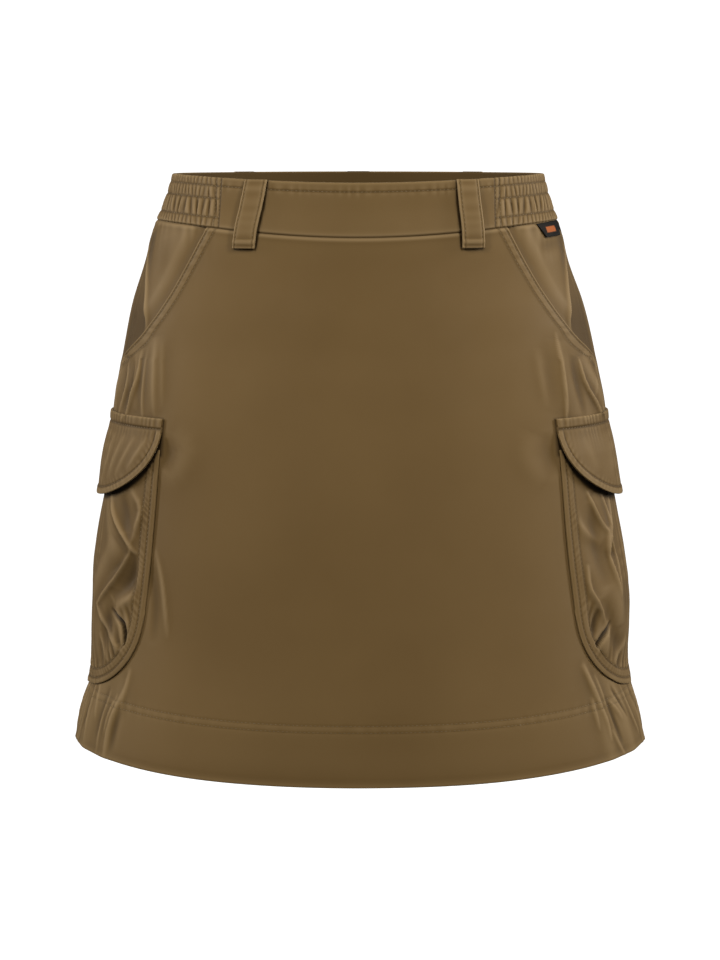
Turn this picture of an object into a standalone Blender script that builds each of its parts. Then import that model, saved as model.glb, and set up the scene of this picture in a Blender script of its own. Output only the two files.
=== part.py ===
"""A women's cargo skort: a short skirt over plain shorts, worn open and upright with no wearer.

Axes: +Z up, the front of the garment faces -Y, and the wearer's left side is at +X.
The origin is the centre of the waist, at half the height of the waistband at the side.
All sizes in the tables are millimetres; the meshes are made in metres.

Every cloth piece is a thin closed wall between an outer and an inner grid of points. A point is
named by `around`, the distance along the cloth from the centre front (plus to the wearer's left),
and by its height; `out` then moves it away from the body, level.
"""

from collections import namedtuple

import bpy
import bmesh
import numpy as np

MM = 0.001

# ---------------------------------------------------------------- driving sizes (mm)

SEAM_GAP = 0.3            # between two pieces that are sewn together
LAY_GAP = 0.6             # under a piece that lies on a panel
PANEL_WALL = 1.2          # skirt cloth
HEM_WALL = 2.2            # skirt cloth where the hem is turned up
HEM_TURN = 43.0           # height of the turned hem
SHORTS_WALL = 1.1

WAIST_TOP = 20.0          # top edge at the sides and back
WAIST_FRONT_DIP = 5.8     # how far the top edge drops at the centre front
WAIST_SEAM = -13.7        # lower edge of the waistband at the sides and back
SEAM_FRONT_DIP = 10.4     # how far that edge drops at the centre front
HEM_FRONT = -416.6        # lower edge of the skirt at the centre front and back
HEM_SIDE_RISE = 6.0       # how far the hem rises at the sides
WAIST_QUARTER = 196.0     # centre front to side, along the cloth, at the waist
HEM_QUARTER = 296.0       # the same at the hem

SIDE_SEAM_FORWARD = 24.0  # the side seam lies this far in front of the widest point

BAND_OUT = 0.6            # the waistband stands this far proud of the panels
BAND_IN = -2.0
BAND_FRONT_HALF = 104.5   # half length of the plain front of the waistband
BAND_ELASTIC_BACK = 80.0  # the gathered side ends this far behind the widest point
GATHERS_PER_SIDE = 31
GATHER_CREST = 0.9
GATHER_VALLEY = -0.6
GATHER_WIDTH_SWING = 0.28 # share by which one gather is wider or narrower than the next
GATHER_CREST_SWING = 0.3  # the same for their heights

POCKET_DEPTH = 2.0        # how far the hip piece lies behind the slanted pocket edge
POCKET_TUCK = 22.0        # how far the hip piece reaches behind that edge
HIP_LOW = -126.0          # lower end of the hip piece
HIP_WALL = 1.0

CARGO_CENTRE_FORWARD = 13.0   # cargo pocket and flap are centred this far before the widest point
CARGO_HALF_WIDTH = 82.0
CARGO_MOUTH = -181.0
CARGO_STRAIGHT_TO = -300.0    # below this the front and back edges turn into the round bottom
CARGO_LOW = -365.0
CARGO_ROUNDNESS = 2.4         # power of the oval of the bottom corners
CARGO_WALL = 1.2
CARGO_SIDE_RAMP = 48.0        # width over which the pocket swells from its side edges
CARGO_LOW_RAMP = 30.0         # the same from its lower edge

FLAP_HALF_WIDTH = 83.0
FLAP_TOP = -158.0
FLAP_CORNER = -169.0          # height where the round lower edge starts at both ends
FLAP_LOW = -220.0
FLAP_WALL = 1.8
FLAP_END_SINK = 0.25          # share by which the flap lies lower at its two ends
MOUTH_CLEARANCE = 9.0         # height over which the flap climbs on to the pocket's mouth

LOOP_WIDTH = 17.0
LOOP_WALL = 1.7
LOOP_BELOW_SEAM = 11.5
LOOP_ARCH = 2.4               # the most that a loop stands off the waistband

LABEL_HEIGHT = 10.0
LABEL_FROM = 20.0             # label ends, forward of the widest point
LABEL_TO = 58.0
LABEL_SLANT = 7.0             # the front end is this much shorter at its lower corner
LABEL_WALL = 0.9

HIP_FLUSH_FROM = 2.0          # the hip piece rises to the skirt's face between these distances
HIP_FLUSH_AT = 20.0           # in front of the slanted edge

SHORTS_SEAM_SHARE = 0.0007    # seam gap of the shorts, as a share of the way round a leg
SHORTS_TOP = -11.0
CROTCH_START = -130.0         # the crotch seam leaves the centre front here
CROTCH_LOW = -250.0
SHORTS_HEM = -330.0

Section = namedtuple("Section", "height half_width front_depth back_depth sway")
SECTIONS = (              # sway: how far the middle hangs towards the wearer's left
    Section(-420, 220.5, 156.5, 152.5, 0.3),
    Section(-400, 216.5, 154.8, 151.5, 0.2),
    Section(-385, 213.0, 153.0, 150.5, 0.1),
    Section(-360, 205.8, 150.0, 148.5, 0.0),
    Section(-330, 200.0, 146.2, 146.0, 0.0),
    Section(-290, 195.2, 142.0, 143.0, 0.0),
    Section(-250, 191.6, 138.2, 140.0, -0.2),
    Section(-215, 189.6, 134.6, 137.2, -0.2),
    Section(-185, 188.5, 131.0, 134.0, -0.2),
    Section(-155, 187.3, 127.0, 131.0, -0.4),
    Section(-125, 181.7, 123.0, 127.5, -0.8),
    Section(-105, 177.7, 120.0, 124.0, -1.0),
    Section(-75, 170.7, 116.0, 118.5, -1.7),
    Section(-45, 160.3, 111.0, 112.5, -2.4),
    Section(-20, 153.6, 107.0, 107.5, -2.2),
    Section(0, 144.7, 103.0, 103.5, -1.7),
    Section(24, 138.4, 99.5, 100.5, -1.3),
)

SlantPoint = namedtuple("SlantPoint", "height around")
SLANT_EDGE = (            # the open edge of the slanted hand pocket
    SlantPoint(-116, 216),
    SlantPoint(-110, 203),
    SlantPoint(-101, 185),
    SlantPoint(-87, 168),
    SlantPoint(-69, 151),
    SlantPoint(-44, 133),
    SlantPoint(-16, 115),
)

GatherRow = namedtuple("GatherRow", "below_top fullness")
GATHER_ROWS = (           # the stitch rows pinch the gathers, which swell between them
    GatherRow(0, 0.6),
    GatherRow(6, 0.5),
    GatherRow(16, 0.45),
    GatherRow(23.5, 1.0),
    GatherRow(31, 0.4),
    GatherRow(39, 0.75),
)

Swell = namedtuple("Swell", "height left right")
CARGO_SWELL = (           # outside of each cargo pocket along its centre line
    Swell(-365, 1.9, 1.9),
    Swell(-352, 2.8, 3.2),
    Swell(-340, 4.6, 5.0),
    Swell(-322, 8.2, 7.6),
    Swell(-295, 10.6, 8.9),
    Swell(-265, 8.3, 8.4),
    Swell(-235, 5.0, 6.5),
    Swell(-205, 3.2, 4.2),
    Swell(-181, 2.9, 2.9),
)
FlapSwell = namedtuple("FlapSwell", "height out")
FLAP_SWELL = (            # outside of the flap along its centre line
    FlapSwell(-220, 10.7),
    FlapSwell(-208, 9.2),
    FlapSwell(-193, 7.2),
    FlapSwell(-177, 5.0),
    FlapSwell(-167, 2.7),
    FlapSwell(-158, 2.2),
)

Fold = namedtuple("Fold", "top_forward top_height low_forward low_height half_width rise")
SKIRT_FOLDS = {           # soft ridges; forward is measured from the widest point
    "left": (
        Fold(76, -100, 85, -155, 9, 1.6),
        Fold(50, -112, 26, -155, 9, 2.2),
        Fold(-18, -40, -24, -155, 16, 1.8),
        Fold(88, -370, 88, -412, 8, 1.4),
        Fold(66, -370, 54, -412, 9, 2.2),
        Fold(34, -370, 16, -414, 9, 2.0),
        Fold(-8, -370, -16, -414, 10, 2.2),
        Fold(-48, -370, -58, -412, 10, 1.8),
    ),
    "right": (
        Fold(70, -98, 84, -155, 9, 1.4),
        Fold(52, -108, 62, -155, 8, 1.8),
        Fold(30, -116, 26, -155, 8, 2.0),
        Fold(-20, -44, -30, -155, 16, 1.8),
        Fold(84, -370, 80, -412, 9, 1.6),
        Fold(56, -370, 44, -412, 9, 2.0),
        Fold(20, -370, 6, -414, 10, 2.2),
        Fold(-20, -370, -30, -414, 10, 2.0),
        Fold(-56, -370, -62, -412, 9, 1.6),
    ),
}
CARGO_FOLDS = {           # creases of the cargo pockets, forward of the widest point
    "left": (
        Fold(64, -216, 50, -262, 9, 1.6),
        Fold(38, -218, 50, -262, 9, 1.6),
        Fold(50, -262, 46, -318, 9, 1.8),
        Fold(68, -292, 44, -352, 8, -1.8),
        Fold(-4, -210, 14, -290, 12, 1.6),
        Fold(-40, -222, -20, -316, 12, -1.6),
    ),
    "right": (
        Fold(34, -214, 66, -268, 10, 2.0),
        Fold(60, -250, 22, -300, 10, 1.8),
        Fold(64, -286, 46, -350, 8, -1.8),
        Fold(8, -226, -6, -300, 12, 1.6),
        Fold(-44, -214, -28, -320, 12, -1.6),
    ),
}

LoopPlace = namedtuple("LoopPlace", "name share_round")
BELT_LOOPS = (            # places as shares of the way from the centre front to the centre back
    LoopPlace("belt_loop_front_left", 0.2085),
    LoopPlace("belt_loop_front_right", -0.1975),
    LoopPlace("belt_loop_back_left", 0.755),
    LoopPlace("belt_loop_back_right", -0.755),
    LoopPlace("belt_loop_back_centre", 1.0),
)

LegRing = namedtuple("LegRing", "height inseam_across half_width half_depth")
LEG_RINGS = (             # inseam_across is measured from the garment's middle
    LegRing(-335, 3.5, 86.0, 96.0),
    LegRing(-290, 1.6, 86.0, 97.0),
    LegRing(-250, 0.8, 86.0, 98.0),
    LegRing(-130, 0.8, 86.0, 100.0),
)
Inset = namedtuple("Inset", "height inside")
SHORTS_INSET = (          # how far the seat of the shorts lies inside the skirt
    Inset(-250, 24.0),
    Inset(-180, 21.0),
    Inset(-120, 17.0),
    Inset(-60, 10.0),
    Inset(-30, 5.2),
    Inset(-22, 4.2),
    Inset(-10, 3.0),
)

CLOTH_COLOUR = (0.145, 0.090, 0.036, 1.0)
SHORTS_COLOUR = (0.060, 0.042, 0.022, 1.0)
LABEL_COLOUR = (0.012, 0.011, 0.011, 1.0)


# ---------------------------------------------------------------- reading the tables

def column(table, name):
    """One named column of a table as an array."""
    return np.array([getattr(row, name) for row in table], dtype=float)


def smooth_read(table, name, height):
    """Read a column at any height, with a smooth cubic through its rows."""
    heights = column(table, "height")
    values = column(table, name)
    slopes = np.gradient(values, heights)
    height = np.clip(height, heights[0], heights[-1])
    row = np.clip(np.searchsorted(heights, height) - 1, 0, len(heights) - 2)
    span = heights[row + 1] - heights[row]
    t = (height - heights[row]) / span
    return ((1 + 2 * t) * (1 - t) ** 2 * values[row] + t * t * (3 - 2 * t) * values[row + 1]
            + t * (1 - t) ** 2 * span * slopes[row] + t * t * (t - 1) * span * slopes[row + 1])


def ease(t):
    """0 below 0, 1 above 1, with a smooth step between."""
    t = np.clip(t, 0.0, 1.0)
    return t * t * (3 - 2 * t)


# ---------------------------------------------------------------- the body of the skirt

ANGLES = np.radians(np.linspace(0.0, 180.0, 121))    # from the centre front to the centre back


def distances_round(height):
    """Distance along the cloth from the centre front to each of ANGLES, at each height."""
    half_width = smooth_read(SECTIONS, "half_width", height)[..., None]
    front = smooth_read(SECTIONS, "front_depth", height)[..., None]
    back = smooth_read(SECTIONS, "back_depth", height)[..., None]
    depth = np.where(np.cos(ANGLES) > 0, front, back)
    step = np.hypot(np.diff(half_width * np.sin(ANGLES)), np.diff(depth * np.cos(ANGLES)))
    return np.concatenate([np.zeros(step.shape[:-1] + (1,)), np.cumsum(step, axis=-1)], axis=-1)


def quarter(height):
    """Distance from the centre front to the widest point at the side."""
    return distances_round(np.asarray(height, float))[..., len(ANGLES) // 2]


def half(height):
    """Distance from the centre front to the centre back."""
    return distances_round(np.asarray(height, float))[..., -1]


def cloth(around, height, out):
    """Points of the cloth: `around` mm from the centre front, at `height`, moved `out` mm."""
    around, height, out = np.broadcast_arrays(*[np.asarray(v, float) for v in (around, height, out)])
    lengths = distances_round(height)
    side = np.where(around < 0, -1.0, 1.0)
    distance = np.abs(around)
    past_back = distance > lengths[..., -1]
    distance = np.where(past_back, 2 * lengths[..., -1] - distance, distance)
    side = np.where(past_back, -side, side)
    low = np.clip((lengths <= distance[..., None]).sum(axis=-1) - 1, 0, len(ANGLES) - 2)
    near = np.take_along_axis(lengths, low[..., None], axis=-1)[..., 0]
    far = np.take_along_axis(lengths, low[..., None] + 1, axis=-1)[..., 0]
    angle = ANGLES[low] + (distance - near) / (far - near) * (ANGLES[1] - ANGLES[0])
    half_width = smooth_read(SECTIONS, "half_width", height)
    depth = np.where(np.cos(angle) > 0, smooth_read(SECTIONS, "front_depth", height),
                     smooth_read(SECTIONS, "back_depth", height))
    normal_x = depth * np.sin(angle)
    normal_y = -half_width * np.cos(angle)
    size = np.hypot(normal_x, normal_y)
    x = half_width * np.sin(angle) + out * normal_x / size
    y = -depth * np.cos(angle) + out * normal_y / size
    x = side * x + sway(height)
    return np.stack([x, y, height], axis=-1)


def sway(height):
    """How far the middle of the garment hangs to the wearer's left."""
    return smooth_read(SECTIONS, "sway", height)


def centre_dip(around, quarter_length):
    """1 at the centre front, falling smoothly to 0 at the side and behind it."""
    return np.cos(np.clip(np.abs(around) / quarter_length, 0.0, 1.0) * np.pi / 2) ** 2


def waist_top(around):
    return WAIST_TOP - WAIST_FRONT_DIP * centre_dip(around, WAIST_QUARTER)


def waist_seam(around):
    return WAIST_SEAM - SEAM_FRONT_DIP * centre_dip(around, WAIST_QUARTER)


def hem(around):
    """Lower edge of the skirt: it rises a little towards each side."""
    return HEM_FRONT + HEM_SIDE_RISE * np.sin(np.abs(around) / HEM_QUARTER * np.pi / 2) ** 4


def fold_rise(folds, forward, height):
    """Height of all the soft ridges at each point; a ridge fades out at both of its ends."""
    rise = np.zeros(np.broadcast(forward, height).shape)
    for fold in folds:
        along = (fold.top_height - height) / (fold.top_height - fold.low_height)
        centre = fold.top_forward + along * (fold.low_forward - fold.top_forward)
        fade = np.sin(np.clip(along, 0.0, 1.0) * np.pi) ** 0.7
        rise = rise + fold.rise * fade * np.exp(-((forward - centre) / fold.half_width) ** 2)
    return rise


def skirt_folds(around, height):
    """Ridges of the skirt on both sides."""
    whole = 2 * half(height)
    around = np.where(around > whole / 2, around - whole, around)
    forward = quarter(height) - np.abs(around)
    left = fold_rise(SKIRT_FOLDS["left"], forward, height)
    right = fold_rise(SKIRT_FOLDS["right"], forward, height)
    return np.where(around > 0, left, right)


def panel_wall(around, height):
    """The cloth is doubled where the hem is turned up."""
    above_hem = height - hem(around)
    return HEM_WALL + (PANEL_WALL - HEM_WALL) * ease((above_hem - HEM_TURN + 3) / 6)


def side_seam(height):
    return quarter(height) - SIDE_SEAM_FORWARD


def slant_edge(height):
    """Distance round to the slanted pocket edge, and below its end to the side seam."""
    seam = side_seam(height)
    slant = np.minimum(smooth_read(SLANT_EDGE, "around", height), seam)
    return np.where(height < SLANT_EDGE[0].height, seam, slant)


# ---------------------------------------------------------------- making the solids

def cloth_between(name, outer, inner, material, collection):
    """One closed wall between two grids of points (rows, columns, 3), in millimetres."""
    rows, columns = outer.shape[:2]
    points = np.concatenate([outer.reshape(-1, 3), inner.reshape(-1, 3)]) * MM
    index = np.arange(rows * columns).reshape(rows, columns)
    behind = index + rows * columns

    def quads(a, b, c, d):
        return np.stack([a, b, c, d], axis=-1).reshape(-1, 4)

    faces = [quads(index[:-1, :-1], index[:-1, 1:], index[1:, 1:], index[1:, :-1]),
             quads(behind[:-1, :-1], behind[1:, :-1], behind[1:, 1:], behind[:-1, 1:])]
    rim = np.concatenate([index[0, :-1], index[:-1, -1], index[-1, :0:-1], index[:0:-1, 0]])
    rim_next = np.roll(rim, -1)
    faces.append(quads(rim, rim + rows * columns, rim_next + rows * columns, rim_next))

    mesh = bpy.data.meshes.new(name)
    mesh.from_pydata(points.tolist(), [], np.concatenate(faces).tolist())
    mesh.materials.append(material)
    work = bmesh.new()
    work.from_mesh(mesh)
    bmesh.ops.recalc_face_normals(work, faces=work.faces)
    bmesh.ops.triangulate(work, faces=work.faces, quad_method="SHORT_EDGE")
    work.to_mesh(mesh)
    work.free()
    mesh.shade_smooth()
    mesh.set_sharp_from_angle(angle=np.radians(50))
    piece = bpy.data.objects.new(name, mesh)
    collection.objects.link(piece)
    return piece


def make_material(name, colour, roughness):
    material = bpy.data.materials.new(name)
    material.use_nodes = True
    shader = material.node_tree.nodes["Principled BSDF"]
    shader.inputs["Base Color"].default_value = colour
    shader.inputs["Roughness"].default_value = roughness
    shader.inputs["Metallic"].default_value = 0.0
    return material


# ---------------------------------------------------------------- skirt panels and hips

PANEL_ROWS = np.array([0, 0.067, 0.131, 0.187, 0.227, 0.263, 0.309, 0.355, 0.45, 0.54, 0.62, 0.69,
                       0.755, 0.81, 0.86, 0.892, 0.923, 0.954, 0.98, 1.0])
FRONT_COLUMNS = 32
FRONT_CROWDING = 1.35     # a power over 1 crowds the columns towards the side seams
BACK_COLUMNS = 36
BACK_CROWDING = 0.45      # share by which the same is done on the back


def panel_grid(top_around, low_around):
    """Heights of a skirt panel's rows, from the waist seam to the hem, for each column."""
    top = waist_seam(top_around) - SEAM_GAP / 2
    return top + PANEL_ROWS[:, None] * (hem(low_around) - top)


def make_front_panel(material, collection):
    """Front: between the side seams, and above the hips between the slanted pocket edges."""
    t = np.linspace(-1, 1, FRONT_COLUMNS + 1)
    share = np.sign(t) * (1 - (1 - np.abs(t)) ** FRONT_CROWDING)
    height = panel_grid(share * SLANT_EDGE[-1].around, share * side_seam(HEM_FRONT))
    around = share * (slant_edge(height) - SEAM_GAP / 2)
    ridge = skirt_folds(around, height)
    wall = panel_wall(around, height)
    cloth_between("front_panel", cloth(around, height, ridge), cloth(around, height, ridge - wall),
                  material, collection)


def make_back_panel(material, collection):
    """Back: one panel from side seam to side seam round the back."""
    t = np.linspace(0, 1, BACK_COLUMNS + 1)
    share = t - BACK_CROWDING * np.sin(2 * np.pi * t) / (2 * np.pi)
    low_around = HEM_QUARTER * (1 + 2 * np.minimum(share, 1 - share))
    height = panel_grid(np.full_like(share, WAIST_QUARTER), low_around)
    start = side_seam(height) + SEAM_GAP / 2
    around = start + share * (2 * (half(height) - start))
    ridge = skirt_folds(around, height)
    wall = panel_wall(around, height)
    cloth_between("back_panel", cloth(around, height, ridge), cloth(around, height, ridge - wall),
                  material, collection)


def make_hip(name, side, material, collection):
    """Hip piece: it shows beside the slanted edge and lies behind it, as the pocket's back."""
    share = np.linspace(0, 1, 9)
    down = np.linspace(0, 1, 10)[:, None]
    top_start = SLANT_EDGE[-1].around - POCKET_TUCK
    top = waist_seam(top_start + share * (side_seam(WAIST_SEAM) - top_start)) - SEAM_GAP / 2
    height = top + down * (HIP_LOW - top)
    start = slant_edge(height) - POCKET_TUCK
    end = side_seam(height) - SEAM_GAP / 2
    around = start + share * (end - start)
    bare = around - slant_edge(height)
    out = -POCKET_DEPTH * (1 - ease((bare - HIP_FLUSH_FROM) / (HIP_FLUSH_AT - HIP_FLUSH_FROM)))
    cloth_between(name, cloth(side * around, height, out), cloth(side * around, height, out - HIP_WALL),
                  material, collection)


# ---------------------------------------------------------------- waistband and belt loops

def band_grid(around):
    """Heights of the waistband's rows, between its top edge and the waist seam.

    Every piece of the band has the same rows, so that neighbours meet along the same line.
    """
    below_top = column(GATHER_ROWS, "below_top")[:, None]
    top = waist_top(around)
    return top + below_top / below_top[-1] * (waist_seam(around) + SEAM_GAP / 2 - top)


def make_band_front(material, collection):
    """The plain front of the waistband."""
    around = BAND_FRONT_HALF * np.linspace(-1, 1, 17)
    height = band_grid(around)
    cloth_between("waistband_front", cloth(around, height, BAND_OUT), cloth(around, height, BAND_IN),
                  material, collection)


def make_band_back(material, collection):
    """The plain back of the waistband, between the gathered sides."""
    start = WAIST_QUARTER + BAND_ELASTIC_BACK + SEAM_GAP
    share = np.linspace(0, 1, 15)
    height = band_grid(np.full_like(share, WAIST_QUARTER))
    around = start + share * 2 * (half(height) - start)
    cloth_between("waistband_back", cloth(around, height, BAND_OUT), cloth(around, height, BAND_IN),
                  material, collection)


def make_gathered_band(name, side, material, collection):
    """The elastic side: uneven narrow gathers outside over a plain inside."""
    count = 2 * GATHERS_PER_SIDE + 1
    number = np.arange(count)
    width = 1 + GATHER_WIDTH_SWING * np.sin(2.4 * number + side)
    place = np.concatenate([[0.0], np.cumsum(width[1:])])
    place = place / place[-1]
    start = BAND_FRONT_HALF + SEAM_GAP
    end = WAIST_QUARTER + BAND_ELASTIC_BACK
    around = start + place * (end - start)
    fullness = column(GATHER_ROWS, "fullness")[:, None]
    crest = GATHER_CREST * (1 + GATHER_CREST_SWING * np.sin(3.7 * number))
    peak = np.where(number % 2 == 1, crest, GATHER_VALLEY)
    middle = (GATHER_CREST + GATHER_VALLEY) / 2
    out = middle + (peak - middle) * fullness
    out[:, [0, -1]] = BAND_OUT
    height = band_grid(around)
    cloth_between(name, cloth(side * around, height, out), cloth(side * around, height, BAND_IN),
                  material, collection)


def make_belt_loop(place, material, collection):
    """A flat strip from the top edge to just below the seam, arched a little off the band."""
    down = np.linspace(0, 1, 8)
    rough_place = place.share_round * half(0.0)
    top = waist_top(rough_place) + 0.6
    low = waist_seam(rough_place) - LOOP_BELOW_SEAM
    height = (top + down * (low - top))[:, None] + np.zeros(3)
    around = place.share_round * half(height) + np.array([-0.5, 0.0, 0.5]) * LOOP_WIDTH
    lift = BAND_OUT + LAY_GAP + LOOP_ARCH * np.sin(np.pi * down) ** 0.8
    lift = lift[:, None] + np.zeros(3)
    cloth_between(place.name, cloth(around, height, lift + LOOP_WALL), cloth(around, height, lift),
                  material, collection)


# ---------------------------------------------------------------- cargo pockets and flaps

def cargo_low_edge(across):
    """Height of the pocket's lower edge: an oval of power CARGO_ROUNDNESS."""
    share = np.clip(np.abs(across) / CARGO_HALF_WIDTH, 0.0, 1.0)
    drop = (1 - share ** CARGO_ROUNDNESS) ** (1 / CARGO_ROUNDNESS)
    return CARGO_STRAIGHT_TO + (CARGO_LOW - CARGO_STRAIGHT_TO) * drop


def cargo_out(across, height, side_name):
    """Outside of the cargo pocket over the skirt: flat at its edge band, swollen inside it."""
    share = np.clip(np.abs(across) / CARGO_HALF_WIDTH, 0.0, 1.0)
    from_side = CARGO_HALF_WIDTH - np.abs(across)
    from_low = height - cargo_low_edge(across)
    inside = ease(from_side / CARGO_SIDE_RAMP) ** 0.6 * ease((from_low + 4) / CARGO_LOW_RAMP) ** 0.5
    centre_line = smooth_read(CARGO_SWELL, side_name, height)
    edge = LAY_GAP + CARGO_WALL
    swell = np.maximum(centre_line - edge, 0.0) * inside * (1 - 0.12 * share)
    forward = across + CARGO_CENTRE_FORWARD
    crease = fold_rise(CARGO_FOLDS[side_name], forward, height)
    return edge + swell + crease * inside


def on_skirt(across, height, out, side):
    """A point of a pocket or flap: `across` its centre line, `out` over the skirt's folds."""
    around = quarter(height) - CARGO_CENTRE_FORWARD - across
    ridge = np.maximum(skirt_folds(side * around, height), 0.0)
    return cloth(side * around, height, out + ridge)


def make_cargo_pocket(name, side, side_name, material, collection):
    """A round-bottomed patch pocket, open at its mouth under the flap."""
    across = CARGO_HALF_WIDTH * np.sin(np.linspace(-1, 1, 21) * np.pi / 2)
    down = np.linspace(0, 1, 13)[:, None]
    height = CARGO_MOUTH + down * (cargo_low_edge(across) - CARGO_MOUTH)
    across = across + 0 * height
    out = cargo_out(across, height, side_name)
    cloth_between(name, on_skirt(across, height, out, side),
                  on_skirt(across, height, out - CARGO_WALL, side), material, collection)


def flap_low_edge(across):
    share = np.clip(np.abs(across) / FLAP_HALF_WIDTH, 0.0, 1.0)
    return FLAP_CORNER + (FLAP_LOW - FLAP_CORNER) * np.sqrt(1 - share ** 2)


def make_cargo_flap(name, side, side_name, material, collection):
    """A half-oval flap: sewn down along its top, it hangs over the pocket's mouth."""
    across = FLAP_HALF_WIDTH * np.sin(np.linspace(-1, 1, 19) * np.pi / 2)
    down = np.linspace(0, 1, 8)[:, None]
    height = FLAP_TOP + down * (flap_low_edge(across) - FLAP_TOP)
    across = across + 0 * height
    centre_line = smooth_read(FLAP_SWELL, "out", height)
    share = np.abs(across) / FLAP_HALF_WIDTH
    out = centre_line * (1 - FLAP_END_SINK * share ** 3)
    over_pocket = cargo_out(across, np.minimum(height, CARGO_MOUTH), side_name)
    near_pocket = ease((CARGO_MOUTH + MOUTH_CLEARANCE - height) / MOUTH_CLEARANCE)
    clear = (over_pocket + LAY_GAP) * near_pocket + LAY_GAP * (1 - near_pocket)
    out = np.maximum(out, clear + FLAP_WALL)
    cloth_between(name, on_skirt(across, height, out, side),
                  on_skirt(across, height, out - FLAP_WALL, side), material, collection)


def make_label(material, collection):
    """A small tab just under the waist seam on the wearer's left hip, with one slanted end."""
    down = np.linspace(0, 1, 3)[:, None]
    share = np.linspace(0, 1, 7)
    front_end = LABEL_TO - LABEL_SLANT * down
    forward = LABEL_FROM + share * (front_end - LABEL_FROM)
    height = waist_seam(WAIST_QUARTER - forward) - SEAM_GAP - down * LABEL_HEIGHT
    around = quarter(height) - forward
    cloth_between("label", cloth(around, height, LAY_GAP + LABEL_WALL), cloth(around, height, LAY_GAP),
                  material, collection)


# ---------------------------------------------------------------- inner shorts

def surface_normals(points):
    """Outward unit normals of a grid whose rows go down and whose columns go to the left."""
    down = np.gradient(points, axis=0)
    along = np.gradient(points, axis=1)
    normal = np.cross(down, along)
    return normal / np.linalg.norm(normal, axis=-1, keepdims=True)


def make_shorts_leg(name, side, material, collection):
    """One leg of the shorts: half of the seat above, a whole tube below the crotch."""
    heights = np.array([SHORTS_TOP, -24, -45, -80, CROTCH_START, -175, -210, -234, CROTCH_LOW,
                        -285, SHORTS_HEM])[:, None]
    share = np.linspace(SHORTS_SEAM_SHARE, 1 - SHORTS_SEAM_SHARE, 21)
    heights = heights + 0 * share
    seat = cloth(share * half(heights), heights, -smooth_read(SHORTS_INSET, "inside", heights))
    seat[..., 0] -= sway(heights)
    turn = 2 * np.pi * share - np.pi / 2
    half_width = smooth_read(LEG_RINGS, "half_width", heights)
    centre = smooth_read(LEG_RINGS, "inseam_across", heights) + half_width
    half_depth = smooth_read(LEG_RINGS, "half_depth", heights)
    leg = np.stack([centre + half_width * np.sin(turn), -half_depth * np.cos(turn), heights], axis=-1)
    fall = np.clip((CROTCH_START - heights) / (CROTCH_START - CROTCH_LOW), 0.0, 1.0)
    legness = (1 - np.sqrt(1 - fall ** 2))[..., None]
    outer = seat + legness * (leg - seat)
    inner = outer - surface_normals(outer) * SHORTS_WALL
    inner[..., 0] = np.maximum(inner[..., 0], SEAM_GAP)
    mirror = np.array([side, 1.0, 1.0])
    middle = sway(heights)[..., None] * np.array([1.0, 0.0, 0.0])
    cloth_between(name, outer * mirror + middle, inner * mirror + middle, material, collection)


# ---------------------------------------------------------------- build

def build():
    for leftover in list(bpy.data.objects):
        bpy.data.objects.remove(leftover, do_unlink=True)
    skort = bpy.data.collections.new("skort")
    bpy.context.scene.collection.children.link(skort)
    fabric = make_material("skirt_cloth", CLOTH_COLOUR, 0.72)
    shorts_fabric = make_material("shorts_cloth", SHORTS_COLOUR, 0.8)
    label_fabric = make_material("label_cloth", LABEL_COLOUR, 0.6)

    make_front_panel(fabric, skort)
    make_back_panel(fabric, skort)
    make_band_front(fabric, skort)
    make_band_back(fabric, skort)
    for side, side_name in ((1, "left"), (-1, "right")):
        make_hip("hip_" + side_name, side, fabric, skort)
        make_gathered_band("waistband_side_" + side_name, side, fabric, skort)
        make_cargo_pocket("cargo_pocket_" + side_name, side, side_name, fabric, skort)
        make_cargo_flap("cargo_flap_" + side_name, side, side_name, fabric, skort)
        make_shorts_leg("shorts_leg_" + side_name, side, shorts_fabric, skort)
    for place in BELT_LOOPS:
        make_belt_loop(place, fabric, skort)
    make_label(label_fabric, skort)


build()
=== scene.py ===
# %% [markdown]
# # A cargo skort, sewn from numbers
#
# A skort is a short skirt over plain inner shorts. This one is a stretch cotton-like twill in
# khaki brown, with an elastic waist, slanted hand pockets and a flapped pocket on each hip.
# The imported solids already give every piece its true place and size. Here each piece of cloth is
# made again as a fine thin shell: with the creases, the puckered seams, the gathers and the
# thread that a solid is too coarse to show.

from collections import namedtuple
from functools import partial, reduce

import bpy
import numpy as np
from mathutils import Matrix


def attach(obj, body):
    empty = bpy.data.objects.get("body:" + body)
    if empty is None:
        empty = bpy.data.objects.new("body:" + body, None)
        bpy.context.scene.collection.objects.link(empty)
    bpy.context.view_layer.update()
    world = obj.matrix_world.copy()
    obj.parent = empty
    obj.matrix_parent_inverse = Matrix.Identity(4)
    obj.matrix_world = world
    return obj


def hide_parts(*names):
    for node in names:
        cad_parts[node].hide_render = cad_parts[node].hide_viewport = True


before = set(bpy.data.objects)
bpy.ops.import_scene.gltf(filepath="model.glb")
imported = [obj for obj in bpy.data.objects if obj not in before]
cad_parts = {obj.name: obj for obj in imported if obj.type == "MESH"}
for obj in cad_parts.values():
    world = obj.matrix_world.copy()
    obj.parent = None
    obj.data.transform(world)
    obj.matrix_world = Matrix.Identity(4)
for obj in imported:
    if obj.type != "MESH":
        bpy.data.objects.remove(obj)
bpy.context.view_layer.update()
MM = 0.001
SIDES = ((1, "left"), (-1, "right"))    # of the wearer; the left is at +X
print("nodes to dress:", len(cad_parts))

# %% [markdown]
# ## The camera
#
# The picture was taken from a little above, from so far that the waist and the hem show almost
# the same scale. A long lens at two metres gives that. The camera comes first, because what it
# sees decides which creases are worth placing.

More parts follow.
